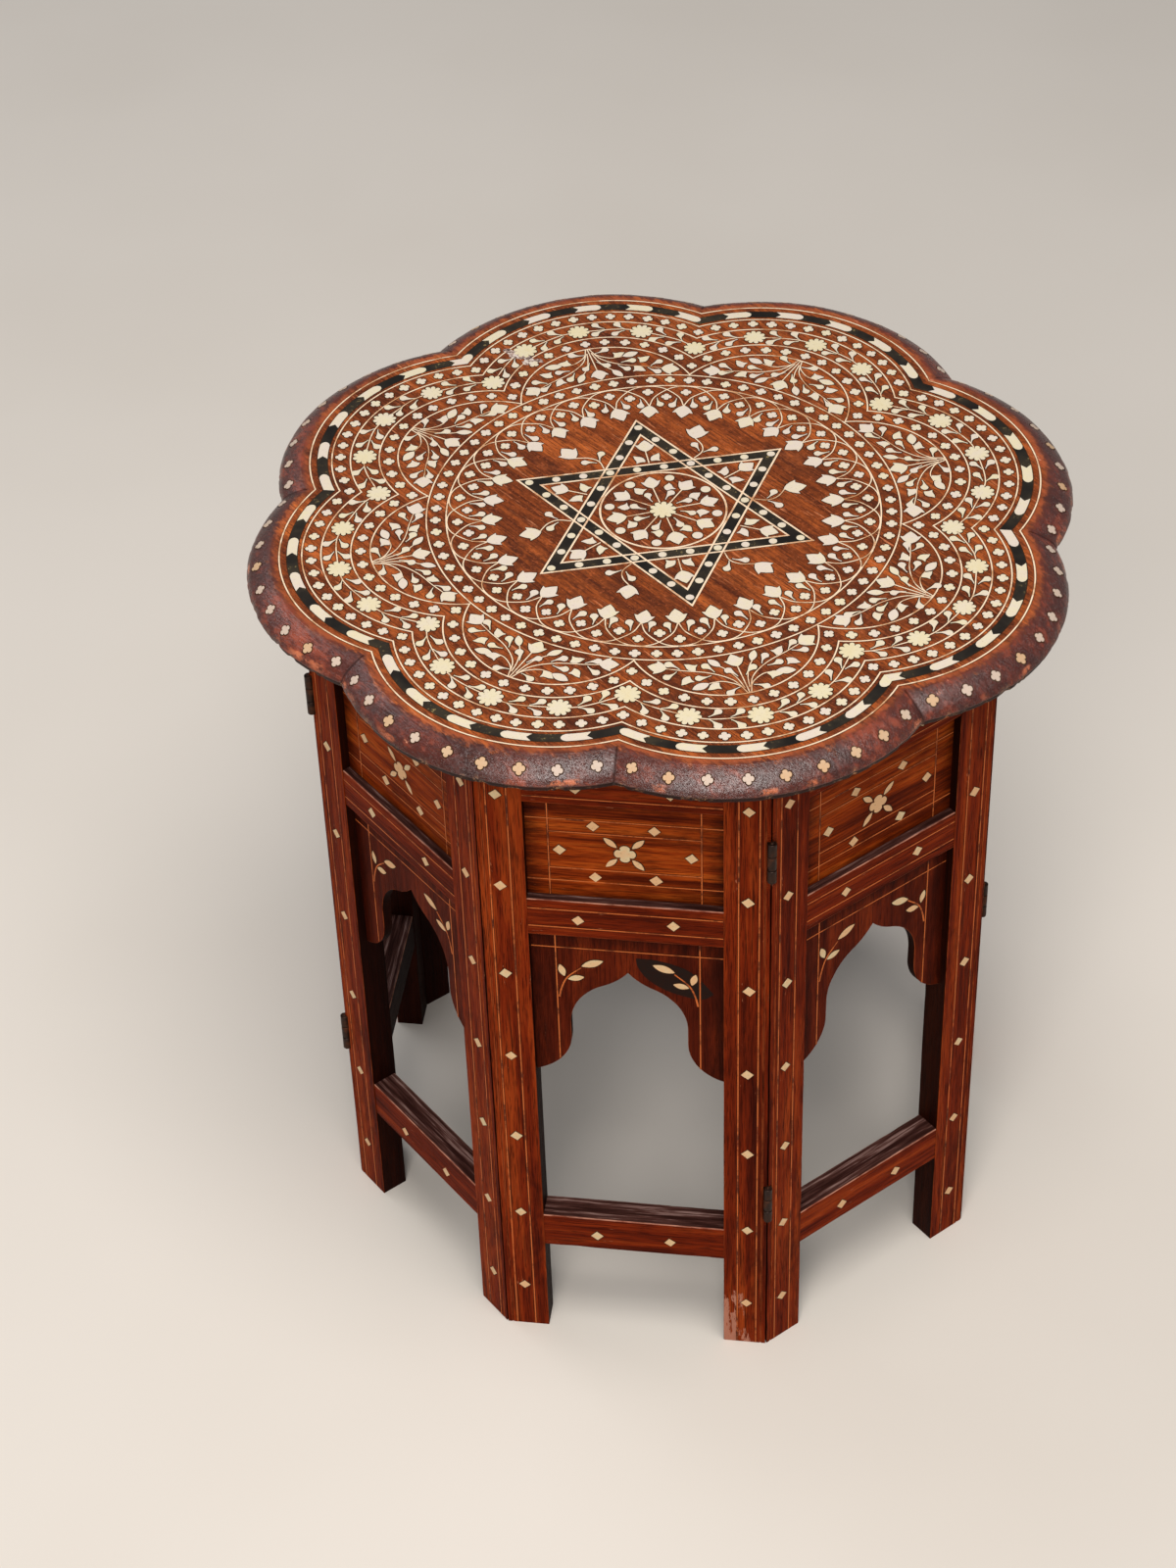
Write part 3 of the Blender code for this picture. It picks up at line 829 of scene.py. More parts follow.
def cut_away(bm, cutter):
    """The same mesh without what the cutter takes out."""
    solid = add_object("solid", finished_mesh(bm, "solid"))
    tool = add_object("cutter", finished_mesh(cutter, "cutter"))
    step = solid.modifiers.new("cut", "BOOLEAN")
    step.operation = "DIFFERENCE"
    step.object = tool
    step.use_self = True
    bpy.context.view_layer.update()
    result = bmesh.new()
    result.from_mesh(solid.evaluated_get(bpy.context.evaluated_depsgraph_get()).data)
    for helper in (solid, tool):
        bpy.data.objects.remove(helper)
    return result


def stile(side):
    """Upright with a mitred edge, dirty in the joint, and a scored groove beside it."""
    half = GROOVE_WIDTH / 2
    outline = [(OPENING_HALF, OUTER_Y), (GROOVE_X - half, OUTER_Y), (GROOVE_X, OUTER_Y + GROOVE_DEPTH),
               (GROOVE_X + half, OUTER_Y), (mitre_x(OUTER_Y), OUTER_Y), (mitre_x(INNER_Y), INNER_Y),
               (OPENING_HALF, INNER_Y)]
    bm = prism(outline, 0.0, PANEL_HEIGHT, lambda x, y, z: (side * x, y, z))
    wear, grime = soften(bm, ARRIS)
    for vert in bm.verts:
        if abs(vert.co.x) > mitre_x(vert.co.y) - JOINT_DIRT and vert.co.y < INNER_Y - ARRIS:
            vert[wear] = 0.0
            vert[grime] = min(1.0, max(0.0, vert.co.y - OUTER_Y) / (ARRIS / 2))
    return bm


def scar_foot(bm):
    """Bare chipped wood at the inner foot of a right stile."""
    scar = new_layer(bm, "scar")
    for vert in bm.verts:
        rise = max(0.0, 1 - vert.co.z / SCAR_HEIGHT)
        outward = max(0.0, vert.co.x - OPENING_HALF) / STILE_WIDTH
        vert[scar] = max(0.0, rise - outward)


def board(front, back, low, high, reach, arris):
    """Plain board across a panel."""
    outline = [(front, low), (back, low), (back, high), (front, high)]
    bm = prism(outline, -reach, reach, lambda y, z, x: (x, y, z))
    soften(bm, arris)
    return bm


def arc(x, z, radius, start, stop):
    """Points on an arc about (x, z); its angles run clockwise from straight up."""
    turns = [start + (stop - start) * step / ARCH_STEPS for step in range(ARCH_STEPS + 1)]
    return [(x + radius * sin(turn), z + radius * cos(turn)) for turn in turns]


def arch_half():
    """Right half of the arch's edge: hollow tip, round head, straight leg, rounded foot at the stile."""
    board_end = OPENING_HALF + BOARD_TONGUE
    rise = ARCH_RADIUS + ARCH_TIP_HEIGHT
    reach = ARCH_RADIUS + ARCH_TIP_RADIUS
    shoulder = acos((reach ** 2 + rise ** 2 - ARCH_TIP_RADIUS ** 2) / (2 * rise * reach))
    hollow_x = reach * sin(shoulder)
    hollow_z = reach * cos(shoulder)
    tip_turn = pi + atan2(hollow_x, hollow_z - rise)
    hollow = arc(hollow_x, ARCH_SPRING + hollow_z, ARCH_TIP_RADIUS, tip_turn, pi + shoulder)
    head = arc(0.0, ARCH_SPRING, ARCH_RADIUS, shoulder, pi / 2)
    foot_x = ARCH_RADIUS + ARCH_FOOT_RADIUS
    sweep = acos((foot_x - board_end) / ARCH_FOOT_RADIUS)
    level = 3 * pi / 2
    foot = arc(foot_x, ARCH_SPRING - ARCH_LEG, ARCH_FOOT_RADIUS, level, level - sweep)
    points = [(0.0, ARCH_SPRING + rise)] + hollow[1:] + head[1:] + foot
    return points + [(board_end, MIDDLE_RAIL[0] + BOARD_TONGUE)]


def arch_board():
    """Pierced board below the middle rail."""
    right = arch_half()
    outline = right + [(-x, z) for x, z in reversed(right) if x > 0]
    bm = bmesh.new()
    skin(bm, [[bm.verts.new((x, y, z)) for x, z in outline] for y in (BOARD_Y, BOARD_BACK)])
    soften(bm, BOARD_ARRIS)
    return bm


# Hinges

def outer_hinged(index, side):
    """Corners take turns: barrels outside at the right of even panels, inside at their left."""
    return (side > 0) == (index % 2 == 0)


def leaf_side(index):
    """Even panels carry the leaves with the pins, on the +Y side of the hinge."""
    return 1 if index % 2 == 0 else -1


def hinge_place(index, side, z):
    """Frame on a hinge pin at a front-panel corner, in millimetres, with +X along the leaves."""
    angle = -pi / 2 + side * HALF_SIDE
    outer = outer_hinged(index, side)
    if outer:
        radius = -OUTER_Y / cos(HALF_SIDE) + PIN_STANDOFF
    else:
        radius = -INNER_Y / cos(HALF_SIDE) - PIN_STANDOFF
    pin = polar(radius, angle)
    return Matrix.Translation((pin.x, pin.y, z)) @ Matrix.Rotation(angle + pi * outer, 4, "Z")


def add_box(bm, low, high, place=Matrix()):
    made = bmesh.ops.create_cube(bm, size=1.0)["verts"]
    low = Vector(low)
    high = Vector(high)
    bmesh.ops.scale(bm, vec=high - low, verts=made)
    bmesh.ops.translate(bm, vec=(low + high) / 2, verts=made)
    bmesh.ops.transform(bm, matrix=place, verts=made)


def add_turned(bm, profile, place=Matrix()):
    """Round solid from (radius, height) points, bottom to top, closed on its axis."""
    rows = []
    for radius, height in profile:
        points = circle(radius, ROUND_SIDES)
        rows.append([bm.verts.new(place @ Vector((point.x, point.y, height))) for point in points])
    skin(bm, rows)


def add_screw(bm, hand, z):
    """Countersunk head with a slot, flush with the leaf."""
    seat = Matrix.Translation((LEAF_REACH * 0.62, hand * MITRE_GAP / 2, z))
    out = seat @ Matrix.Rotation(hand * pi / 2, 4, "X")
    half = SCREW_RADIUS / 2
    add_turned(bm, [(half, -0.8), (SCREW_RADIUS, 0.0), (SCREW_RADIUS * 0.9, 0.08)], out)
    slot = SCREW_RADIUS * 0.86
    for low, high in ((-half, -SCREW_SLOT / 2), (SCREW_SLOT / 2, half)):
        add_box(bm, (-slot, low, 0.02), (slot, high, 0.14), out)


def hinge_leaf(hand, low, high):
    """Leaf with its knuckles: the pin leaf has the two end ones and the pin, the other the middle one."""
    bm = bmesh.new()
    half = (high - low) / 2
    middle = MIDDLE_KNUCKLE / 2
    near, far = sorted((hand * MITRE_GAP / 2, hand * (MITRE_GAP / 2 + LEAF_THICKNESS)))
    add_box(bm, (KNUCKLE_RADIUS + KNUCKLE_GAP, near, -half), (LEAF_REACH, far, half))
    spans = [(-middle, middle)]
    if hand > 0:
        spans = [(middle + KNUCKLE_GAP, half), (-half, -middle - KNUCKLE_GAP)]
    for bottom, top in spans:
        eased = KNUCKLE_RADIUS - KNUCKLE_EASE
        add_turned(bm, [(eased, bottom), (KNUCKLE_RADIUS, bottom + KNUCKLE_EASE),
                        (KNUCKLE_RADIUS, top - KNUCKLE_EASE), (eased, top)])
        add_box(bm, (KNUCKLE_RADIUS * 0.6, near, bottom), (KNUCKLE_RADIUS + 2 * KNUCKLE_GAP, far, top))
    if hand > 0:
        add_turned(bm, [(PIN_RADIUS * 0.6, -half - PIN_CAP), (PIN_RADIUS, -half), (PIN_RADIUS, half),
                        (PIN_RADIUS * 0.6, half + PIN_CAP)])
    for share in SCREW_SHARES:
        add_screw(bm, hand, share * half)
    to_metres(bm)
    return bm


def hinge_cutter(index, side):
    """Mortises for the leaves of one stile and round recesses for their barrels, in metres."""
    bm = bmesh.new()
    depth = leaf_side(index) * (MITRE_GAP / 2 + LEAF_THICKNESS + HINGE_CLEARANCE)
    recess = KNUCKLE_RADIUS + KNUCKLE_GAP
    for low, high in HINGE_LEVELS.values():
        half = (high - low) / 2 + HINGE_CLEARANCE
        place = hinge_place(index, side, (low + high) / 2)
        reach = LEAF_REACH + HINGE_CLEARANCE
        add_box(bm, (-KNUCKLE_RADIUS, min(0, depth), -half), (reach, max(0, depth), half), place)
        add_turned(bm, [(recess, -half), (recess, half)], place)
    to_metres(bm)
    return bm


def add_hinges(index):
    panel = PANELS[index]
    hand = leaf_side(index)
    ending = "hinge_pin_leaf" if hand > 0 else "hinge_leaf"
    for level, (low, high) in HINGE_LEVELS.items():
        for side, side_name in SIDES:
            node = "_".join((panel, level, side_name, ending))
            place = hinge_place(index, side, (low + high) / 2)
            place.translation *= MM
            mesh = finished_mesh(hinge_leaf(hand, low, high), node)
            mesh.shade_smooth()
            mesh.set_sharp_from_angle(angle=HINGE_SHARP_ANGLE)
            add_piece(node + "_iron", mesh, IRON, panel_turn(index) @ place, panel, (node,))


# Inlay of the panels

PANEL_LINE_WIDTH = 0.55
PANEL_TONE = 0.95
LINE_REACH = OPENING_HALF - 0.2
STILE_LINES = (54.8, 64.8)
STILE_DIAMOND_X = 59.7
STILE_DIAMONDS = 7
STILE_DIAMOND_FIRST = 32.0
STILE_DIAMOND_STEP = 58.6
RAIL_LINES = (300.0, 311.5, 383.8)
RAIL_DIAMONDS = ((23.0, 305.6), (19.0, 75.5), (22.3, 390.0))
INSET_LINE_X = 36.7
INSET_LINES = ((19.7, LINE_REACH), (11.6, INSET_LINE_X))
ARCH_LINE_Z = 282.0
ARCH_LINE_X = 35.5
SPRIG_STEM = ((34.5, 248.0), (33.0, 255.0), (30.0, 262.0), (23.0, 269.0))
SPRIG_LEAVES = (((23.0, 270.0), (12.5, 274.0), 4.2), ((31.5, 262.5), (33.5, 270.0), 3.3),
                ((30.0, 260.5), (22.0, 262.5), 3.6))
STAIN = ((4.0, 278.0), (15.0, 277.5), (30.0, 272.0), (41.0, 259.0), (41.0, 256.0), (35.0, 253.0),
         (20.0, 257.0), (10.0, 264.0), (5.0, 272.0))


def face(y):
    """Surface of a drawing on a panel at one depth."""
    return lambda point, lift: Vector((point.x, y - lift, point.y))


def rule(work, x0, y0, x1, y1):
    """A ruled line on a panel."""
    work.line([Vector((x0, y0)), Vector((x1, y1))], PANEL_LINE_WIDTH)


def peg(work, x, y, swing=8.0):
    """A small bone diamond on a panel."""
    work.stamp(circle(DIAMOND_SIZE, 4), Vector((x, y)), pi / 2, PANEL_TONE, swing, 0.4)


def draw_stiles(work):
    work.surface = face(OUTER_Y)
    for side in (-1, 1):
        for x in STILE_LINES:
            rule(work, side * x, 0.5, side * x, PANEL_HEIGHT - 0.5)
        for step in range(STILE_DIAMONDS):
            peg(work, side * STILE_DIAMOND_X, STILE_DIAMOND_FIRST + step * STILE_DIAMOND_STEP)


def draw_rails(work):
    work.surface = face(OUTER_Y + RAIL_SETBACK)
    for z in RAIL_LINES:
        rule(work, -LINE_REACH, z, LINE_REACH, z)
    for x, z in RAIL_DIAMONDS:
        for side in (-1, 1):
            peg(work, side * x, z)


def draw_inset(work):
    """Ruled lines, a flower of four petals and four leaves, and six diamonds."""
    work.surface = face(BOARD_Y)
    middle = Vector((0, INSET_MIDDLE))
    for side in (-1, 1):
        for y, reach in INSET_LINES:
            rule(work, -reach, INSET_MIDDLE + side * y, reach, INSET_MIDDLE + side * y)
        rule(work, side * INSET_LINE_X, MIDDLE_RAIL[1] + 0.2, side * INSET_LINE_X, TOP_RAIL[0] - 0.2)
        peg(work, side * 31.6, INSET_MIDDLE)
        for other in (-1, 1):
            peg(work, side * 14.7, INSET_MIDDLE + other * 16.0, 12.0)
            heading = atan2(other, side)
            work.stamp(oval_leaf(8.2, 3.0), middle + polar(5.2, heading), heading, PANEL_TONE)
    work.stamp(flower(5.4), middle, pi / 2, PANEL_TONE)


def arch_line_foot():
    """Height at which the upright lines meet the curved foot of the arch."""
    foot_x = ARCH_RADIUS + ARCH_FOOT_RADIUS
    return ARCH_SPRING - ARCH_LEG - sqrt(ARCH_FOOT_RADIUS ** 2 - (foot_x - ARCH_LINE_X) ** 2)


def draw_arch(work):
    """A ruled frame and a sprig of three leaves in each spandrel."""
    work.surface = face(BOARD_Y)
    rule(work, -LINE_REACH, ARCH_LINE_Z, LINE_REACH, ARCH_LINE_Z)
    for side in (-1, 1):
        upright = side * ARCH_LINE_X
        rule(work, upright, arch_line_foot() + 0.5, upright, MIDDLE_RAIL[0] - 0.2)
        work.line(smooth([(side * x, z) for x, z in SPRIG_STEM]), 0.9, 0.7)
        for root, tip, width in SPRIG_LEAVES:
            start = Vector((side * root[0], root[1]))
            growth = Vector((side * tip[0], tip[1])) - start
            work.stamp(oval_leaf(growth.length, width), start, atan2(growth.y, growth.x), PANEL_TONE)


def draw_stain(work):
    """Dark old repair round the right sprig of the front panel."""
    work.surface = face(BOARD_Y)
    work.tile("stain", smooth(STAIN + STAIN[:1])[:-1], FILLER_LIFT - LIFT_SPREAD)


def add_panel(index):
    panel = PANELS[index]
    middle_y = (OUTER_Y + INNER_Y) / 2
    for side, side_name in SIDES:
        centre = (side * (OPENING_HALF + STILE_WIDTH / 2), middle_y, PANEL_HEIGHT / 2)
        upright = stile(side)
        if panel == "front" and side > 0:
            scar_foot(upright)
        plank(index, side_name + "_stile", upright, centre, True, FRAME_WOOD, "frame",
              hinge_cutter(index, side))
    for rail_name, (low, high) in (("foot", FOOT_RAIL), ("middle", MIDDLE_RAIL), ("top", TOP_RAIL)):
        rail = board(OUTER_Y + RAIL_SETBACK, INNER_Y - RAIL_SETBACK, low, high, OPENING_HALF + RAIL_TENON,
                     RAIL_ARRIS)
        centre = (0, middle_y, (low + high) / 2)
        plank(index, rail_name + "_rail", rail, centre, False, FRAME_WOOD, "frame")
    inset = board(BOARD_Y, BOARD_BACK, MIDDLE_RAIL[1] - BOARD_TONGUE, TOP_RAIL[0] + BOARD_TONGUE,
                  OPENING_HALF + BOARD_TONGUE, BOARD_ARRIS)
    plank(index, "inset_board", inset, (0, BOARD_Y, INSET_MIDDLE), False, INSET_WOOD,
          "inset_panel")
    plank(index, "arch_board", arch_board(), (0, BOARD_Y, ARCH_SPRING), True, DIRTY_SHADED_ARCH_WOOD,
          "arch_panel")
    add_hinges(index)
    work = Marquetry()
    for draw in (draw_stiles, draw_rails, draw_inset, draw_arch):
        draw(work)
    if panel == "front":
        draw_stain(work)
    materials = {"bone": (BONE, "bone"), "lines": (PANEL_STRING, "bone"), "filler": (FILLER, None),
                 "stain": (OLD_REPAIR, None)}
    work.finish(panel + "_inlay", panel, panel_turn(index), materials, {})


# Lobed top

def half_arc(radius):
    """Half the angle of a lobe's arc, from its apex to the cusp."""
    return HALF_SIDE + asin(LOBE_CENTRE_RADIUS * sin(HALF_SIDE) / radius)


def lobe_apex(lobe):
    return HALF_SIDE + lobe * SIDE_ANGLE


def lobe_point(lobe, radius, turn):
    """Point on a lobe's arc; turn is measured from the apex."""
    apex = lobe_apex(lobe)
    return polar(LOBE_CENTRE_RADIUS, apex) + polar(radius, apex + turn)


def lobed_loop(radius):
    half = half_arc(radius)
    turns = [half * (2 * step / LOBE_STEPS - 1) for step in range(LOBE_STEPS)]
    return [lobe_point(lobe, radius, turn) for lobe in range(len(PANELS)) for turn in turns]


def rim_curve(share):
    """Lobe radius and height on the slope of the edge: share is 0 at its lip and 1 at the flat."""
    crown = RIM_CROWN * sin(pi * share)
    return RIM_RADIUS - RIM_SLOPE_WIDTH * share, RIM_LIP_Z + (TOP_Z - RIM_LIP_Z) * share + crown


def rim_wave(point):
    """Hand-worked unevenness of the slope."""
    return 0.26 * noise.noise(point / 24) + 0.09 * noise.noise(point / 7)


# Undercut of the edge, as shares of its width and of the lip's height
UNDERCUT_CURVE = ((0.45, 0.2), (0.15, 0.45), (0.0, 0.62))

# Flat of the top outside the vine: lobe radius, how much it is rim and how much it is rubbed
FLAT_RINGS = ((FLAT_RADIUS - 1.2, 0.5, 0.6), (FLAT_RADIUS - 2.6, 0.2, 1.0), (BORDER_LINES[1], 0.0, 0.8),
              (BORDER_LINES[1] - 2.0, 0.0, 0.0), (VINE_RADIUS, 0.0, 0.0), (INNER_DOTS[0], 0.0, 0.0))


def top_rings():
    """Loops from the middle of the underside, round the edge, to the middle of the top.

    Each has its lobe radius, height, how much it is rim and how much it is rubbed.
    """
    rings = [(VINE_RADIUS, TOP_LOW.z, 1.0, 0.0), (RIM_RADIUS - 2 * RIM_UNDERCUT, TOP_LOW.z, 1.0, 0.0),
             (RIM_RADIUS - RIM_UNDERCUT, TOP_LOW.z + 0.3, 1.0, 0.0)]
    for inward, rise in UNDERCUT_CURVE:
        rings.append((RIM_RADIUS - inward * RIM_UNDERCUT, TOP_LOW.z + rise * RIM_LIP_HEIGHT, 1.0, 0.0))
    for step in range(RIM_STEPS + 1):
        share = step / RIM_STEPS
        rubbed = RIM_FADE_TONE * max(0.0, share - RIM_FADE) / (1 - RIM_FADE)
        radius, z = rim_curve(share)
        rounding = LIP_ROUNDING * max(0.0, 1 - share / LIP_SHARE) ** 2
        rings.append((radius, z - rounding, 1.0 - rubbed, rubbed))
    return rings + [(radius, TOP_Z, dark, rubbed) for radius, dark, rubbed in FLAT_RINGS]


def wear_rim(bm, rim, wear, under, scrape):
    """Waves, chips along the lower edge and scraped places of the rim, with painted shade under the lip."""
    for vert in bm.verts:
        if vert[rim] < 0.6 or vert.co.z < TOP_LOW.z + 0.1:
            continue
        low = max(0.0, 1 - (vert.co.z - TOP_LOW.z) / (RIM_LIP_HEIGHT + 0.3))
        along = Vector((vert.co.x, vert.co.y, 0))
        ragged = noise.noise(along / 7 + Vector((9, 4, 2)))
        ragged += 0.6 * noise.noise(along / 2.6 + Vector((3, 8, 5)))
        chip = low * max(0.0, ragged - 0.02)
        vert.co += vert.normal * (rim_wave(vert.co) - CHIP_DEPTH * chip)
        vert[wear] = min(1.0, 3 * chip)
        # Painted shade below the lip.
        vert[under] = float(vert.co.z < RIM_LIP_Z - 1.8)
        if abs(vert.co.z - RIM_LIP_Z) < 1.4:
            vert[scrape] = min(1.0, 4 * max(0.0, noise.noise(along / 13 + Vector((5, 1, 7))) - 0.2))


def add_top_board():
    bm = bmesh.new()
    rim = new_layer(bm, "rim")
    margin = new_layer(bm, "margin")
    wear = new_layer(bm, "wear")
    under = new_layer(bm, "under")
    scrape = new_layer(bm, "scrape")
    rows = []
    for radius, z, dark, rubbed in top_rings():
        rows.append([bm.verts.new((point.x, point.y, z)) for point in lobed_loop(radius)])
        for vert in rows[-1]:
            vert[rim] = dark
            vert[margin] = rubbed
    for row, other in zip(rows, rows[1:]):
        bridge(bm, row, other)
    for row, z in ((rows[0], TOP_LOW.z), (rows[-1], TOP_Z)):
        middle = bm.verts.new((0, 0, z))
        for index in range(len(row)):
            bm.faces.new((row[index - 1], row[index], middle))
    bmesh.ops.recalc_face_normals(bm, faces=bm.faces)
    bm.normal_update()
    wear_rim(bm, rim, wear, under, scrape)
    # Painted shade along the creases at the cusps.
    for row in rows[3:-len(FLAT_RINGS)]:
        for vert in row[::LOBE_STEPS]:
            vert[under] = 0.8
    new_layer(bm, "plank", 0.37)
    to_metres(bm)
    mesh = finished_mesh(bm, "top_board")
    mesh.shade_smooth()
    mesh.set_sharp_from_angle(angle=TOP_SHARP_ANGLE)
    add_piece("top_board", mesh, TOP_WOOD, Matrix(), "top", ("tabletop",))


# Inlay of the top. A set is the tone, the swing in degrees and the stray of pieces laid by hand

DOT_SET = (0.15, 9.0, 0.25)
ROSETTE_SET = (0.35, 20.0, 0.3)
VINE_SET = (0.2, 8.0, 0.3)
SCROLL_DROP_SET = (0.1, 8.0, 0.3)
SCROLL_LEAF_SET = (0.08, 7.0, 0.3)
SCROLL_DOT_SET = (0.12, 9.0, 0.3)
SPRAY_LEAF_SET = (0.12, 8.0, 0.3)
SPRAY_DROP_SET = (0.15, 8.0, 0.3)
STAR_LEAF_SET = (0.1, 6.0, 0.3)
STAR_DROP_SET = (0.1, 6.0, 0.2)
MEDALLION_LEAF_SET = (0.1, 5.0, 0.2)
MEDALLION_DROP_SET = (0.12, 8.0, 0.2)


def top_face(point, lift):
    return Vector((point.x, point.y, TOP_Z + lift))


def draw_lobed_lines(work):
    for radius in (SPRAY_LINE, *VINE_LINES, *BORDER_LINES):
        work.ring(lobed_loop, radius, LINE_WIDTH)
    work.ring(circle, RING_LINE, LINE_WIDTH)


BORDER_EDGE = 0.96
BORDER_HEAD = ((2.6, BORDER_EDGE), (0.9, 0.66), (0.2, 0.3), (0.0, 0.0), (0.2, -0.3), (0.9, -0.66),
               (2.6, -BORDER_EDGE))
BORDER_TAIL = ((0.0, -BORDER_EDGE), (2.4, 0.0), (0.0, BORDER_EDGE))


def border_piece(lobe, along, start, stop):
    """Outline of one bone piece in a lobe: pointed ahead and notched behind, or cut off at a cusp.

    Places are lengths along the middle of the strip, from the lobe's first cusp, and shares of its
    half width.
    """
    inner, outer = BORDER_STRIP
    middle = (inner + outer) / 2
    head = [(start + back, across) for back, across in BORDER_HEAD]
    if start < 0:
        head = [(0.0, BORDER_EDGE), (0.0, -BORDER_EDGE)]
    tail = [(stop - back, across) for back, across in BORDER_TAIL]
    if stop > along:
        tail = [(along, -BORDER_EDGE), (along, BORDER_EDGE)]
    first = max(start, 0.0) + BORDER_HEAD[0][0]
    last = min(stop, along) - BORDER_TAIL[1][0]
    shares = [step / 4 for step in range(1, 4)] if last > first + 3 else []
    places = [first + (last - first) * share for share in shares]
    lower = [(place, -BORDER_EDGE) for place in places]
    upper = [(place, BORDER_EDGE) for place in reversed(places)]
    outline = []
    for place, across in head + lower + tail + upper:
        radius = middle + across * (outer - inner) / 2
        turn = place / middle - half_arc(middle)
        if place <= 0:
            turn = -half_arc(radius)
        elif place >= along:
            turn = half_arc(radius)
        outline.append(lobe_point(lobe, radius, turn))
    return outline


def draw_border(work):
    """An ebony strip set with bone arrows that run on round the lobes and point clockwise."""
    inner, outer = BORDER_STRIP
    middle = (inner + outer) / 2
    work.band("filler", lobed_loop(inner - 0.3), lobed_loop(outer + 0.3), FILLER_LIFT)
    work.band("ebony", lobed_loop(inner), lobed_loop(outer), EBONY_LIFT)
    along = 2 * half_arc(middle) * middle
    pair = along * len(PANELS) / BORDER_PAIRS
    for step in range(len(PANELS)):
        lobe = (BORDER_FIRST_LOBE + step) % len(PANELS)
        for count in range(BORDER_PAIRS):
            start = count * pair - step * along
            stop = start + pair * BORDER_BONE_SHARE
            if stop > 1.0 and start < along - 1.0:
                outline = border_piece(lobe, along, start, stop)
                work.tile("bone", outline, BONE_LIFT, RANDOM.uniform(0.0, 0.3))


def draw_dots(work):
    dot = flower(DOT_SIZE)
    for radius, count in (OUTER_DOTS, INNER_DOTS):
        half = half_arc(radius)
        for lobe in range(len(PANELS)):
            for step in range(count):
                turn = half * (2 * step / count - 1)
                heading = lobe_apex(lobe) + (turn if step else -HALF_SIDE)
                work.stamp(dot, lobe_point(lobe, radius, turn), heading, *DOT_SET)
    for step in range(RING_DOTS):
        angle = 2 * pi * step / RING_DOTS
        work.stamp(dot, polar(RING_DOTS_RADIUS, angle), angle, *DOT_SET)


# Places along a vine's stem, as shares of the way from one rosette to the next
VINE_STEM = (0.15, 0.3, 0.5, 0.7, 0.85)
VINE_SWAY = 0.5
VINE_DROPS = (0.27, 0.58)
VINE_DROP_OFFSET = 0.9
VINE_DROP_LEAN = radians(22)


def draw_vine(work):
    """Rosettes joined by a stem with two pairs of teardrops, all growing counter-clockwise."""
    half = half_arc(VINE_RADIUS)
    step = 2 * half / VINE_ROSETTES
    for lobe in range(len(PANELS)):
        for spot in range(VINE_ROSETTES):
            turn = spot * step - half
            work.stamp(rosette(ROSETTE_SIZE), lobe_point(lobe, VINE_RADIUS, turn), lobe_apex(lobe) + turn,
                       *ROSETTE_SET)
            path = []
            for share in VINE_STEM:
                sway = VINE_SWAY * sin(2 * pi * share)
                path.append(lobe_point(lobe, VINE_RADIUS + sway, turn + share * step))
            work.line(smooth(path), STEM_WIDTH)
            for share in VINE_DROPS:
                root = turn + share * step
                onward = lobe_apex(lobe) + root + pi / 2
                for side in (-1, 1):
                    start = lobe_point(lobe, VINE_RADIUS - side * VINE_DROP_OFFSET, root)
                    work.stamp(comma(-side), start, onward + side * VINE_DROP_LEAN, *VINE_SET)


# Swing in degrees and radius along a scroll's stem, and the radii of what stands on it
SCROLL_PATH = ((0.0, 89.6), (1.8, 97.2), (5.5, 103.8), (8.5, 106.7), (12.0, 107.5))
SCROLL_LEAF_ROOT = 90.2
SCROLL_DROP_ROOT = 96.4
SCROLL_DROP_OFFSET = 4.3
SCROLL_DOT_PLACE = 102.0
BETWEEN_DOT_PLACE = 97.6


def draw_scrolls(work):
    """Ivy leaves on stems that sweep both ways into one ring."""
    work.ring(circle, SCROLL_RING, LINE_WIDTH)
    dot = flower(DOT_SIZE)
    for step in range(SCROLLS):
        angle = 2 * pi * step / SCROLLS
        for side in (-1, 1):
            path = [polar(radius, angle + side * radians(swing)) for swing, radius in SCROLL_PATH]
            work.line(smooth(path), STEM_WIDTH)
            start = polar(SCROLL_DROP_ROOT, angle) + polar(1, angle + side * pi / 2) * SCROLL_DROP_OFFSET
            work.stamp(comma(side), start, angle + pi + side * radians(6), *SCROLL_DROP_SET)
        work.stamp(ivy_leaf(11.0, 8.6), polar(SCROLL_LEAF_ROOT, angle), angle + pi, *SCROLL_LEAF_SET)
        work.stamp(dot, polar(SCROLL_DOT_PLACE, angle), angle, *SCROLL_DOT_SET)
        work.stamp(dot, polar(BETWEEN_DOT_PLACE, angle + pi / SCROLLS), angle, *SCROLL_DOT_SET)


# Spray of a lobe, as places across and inward from its root, and leans in degrees
SPRAY_TIP = 20.5
SPRAY_TIP_LEAF = 20.2
SPRAY_STEMS = (
    ((0.8, 0.0), (4.8, 11.0), (14.0, 19.0), (25.0, 24.0), (33.0, 28.0)),
    ((2.0, 4.5), (4.6, 8.0), (10.0, 11.5), (16.0, 11.8)),
    ((1.2, 4.0), (2.4, 11.0), (5.0, 18.0), (8.0, 22.5)),
)
SPRAY_LEAVES = ((ivy_leaf, 9.4, 8.4, 32.6, 27.8, -62), (oval_leaf, 8.4, 3.9, 7.6, 22.0, -33),
                (oval_leaf, 9.0, 4.6, 16.4, 11.6, -100))
SPRAY_DROPS = ((26.4, 25.4, -30, 1), (11.6, 19.0, -20, 1), (2.0, 12.8, -22, 1), (13.8, 17.0, -104, -1),
               (28.0, 24.4, -124, -1), (3.2, 5.0, -96, 1))
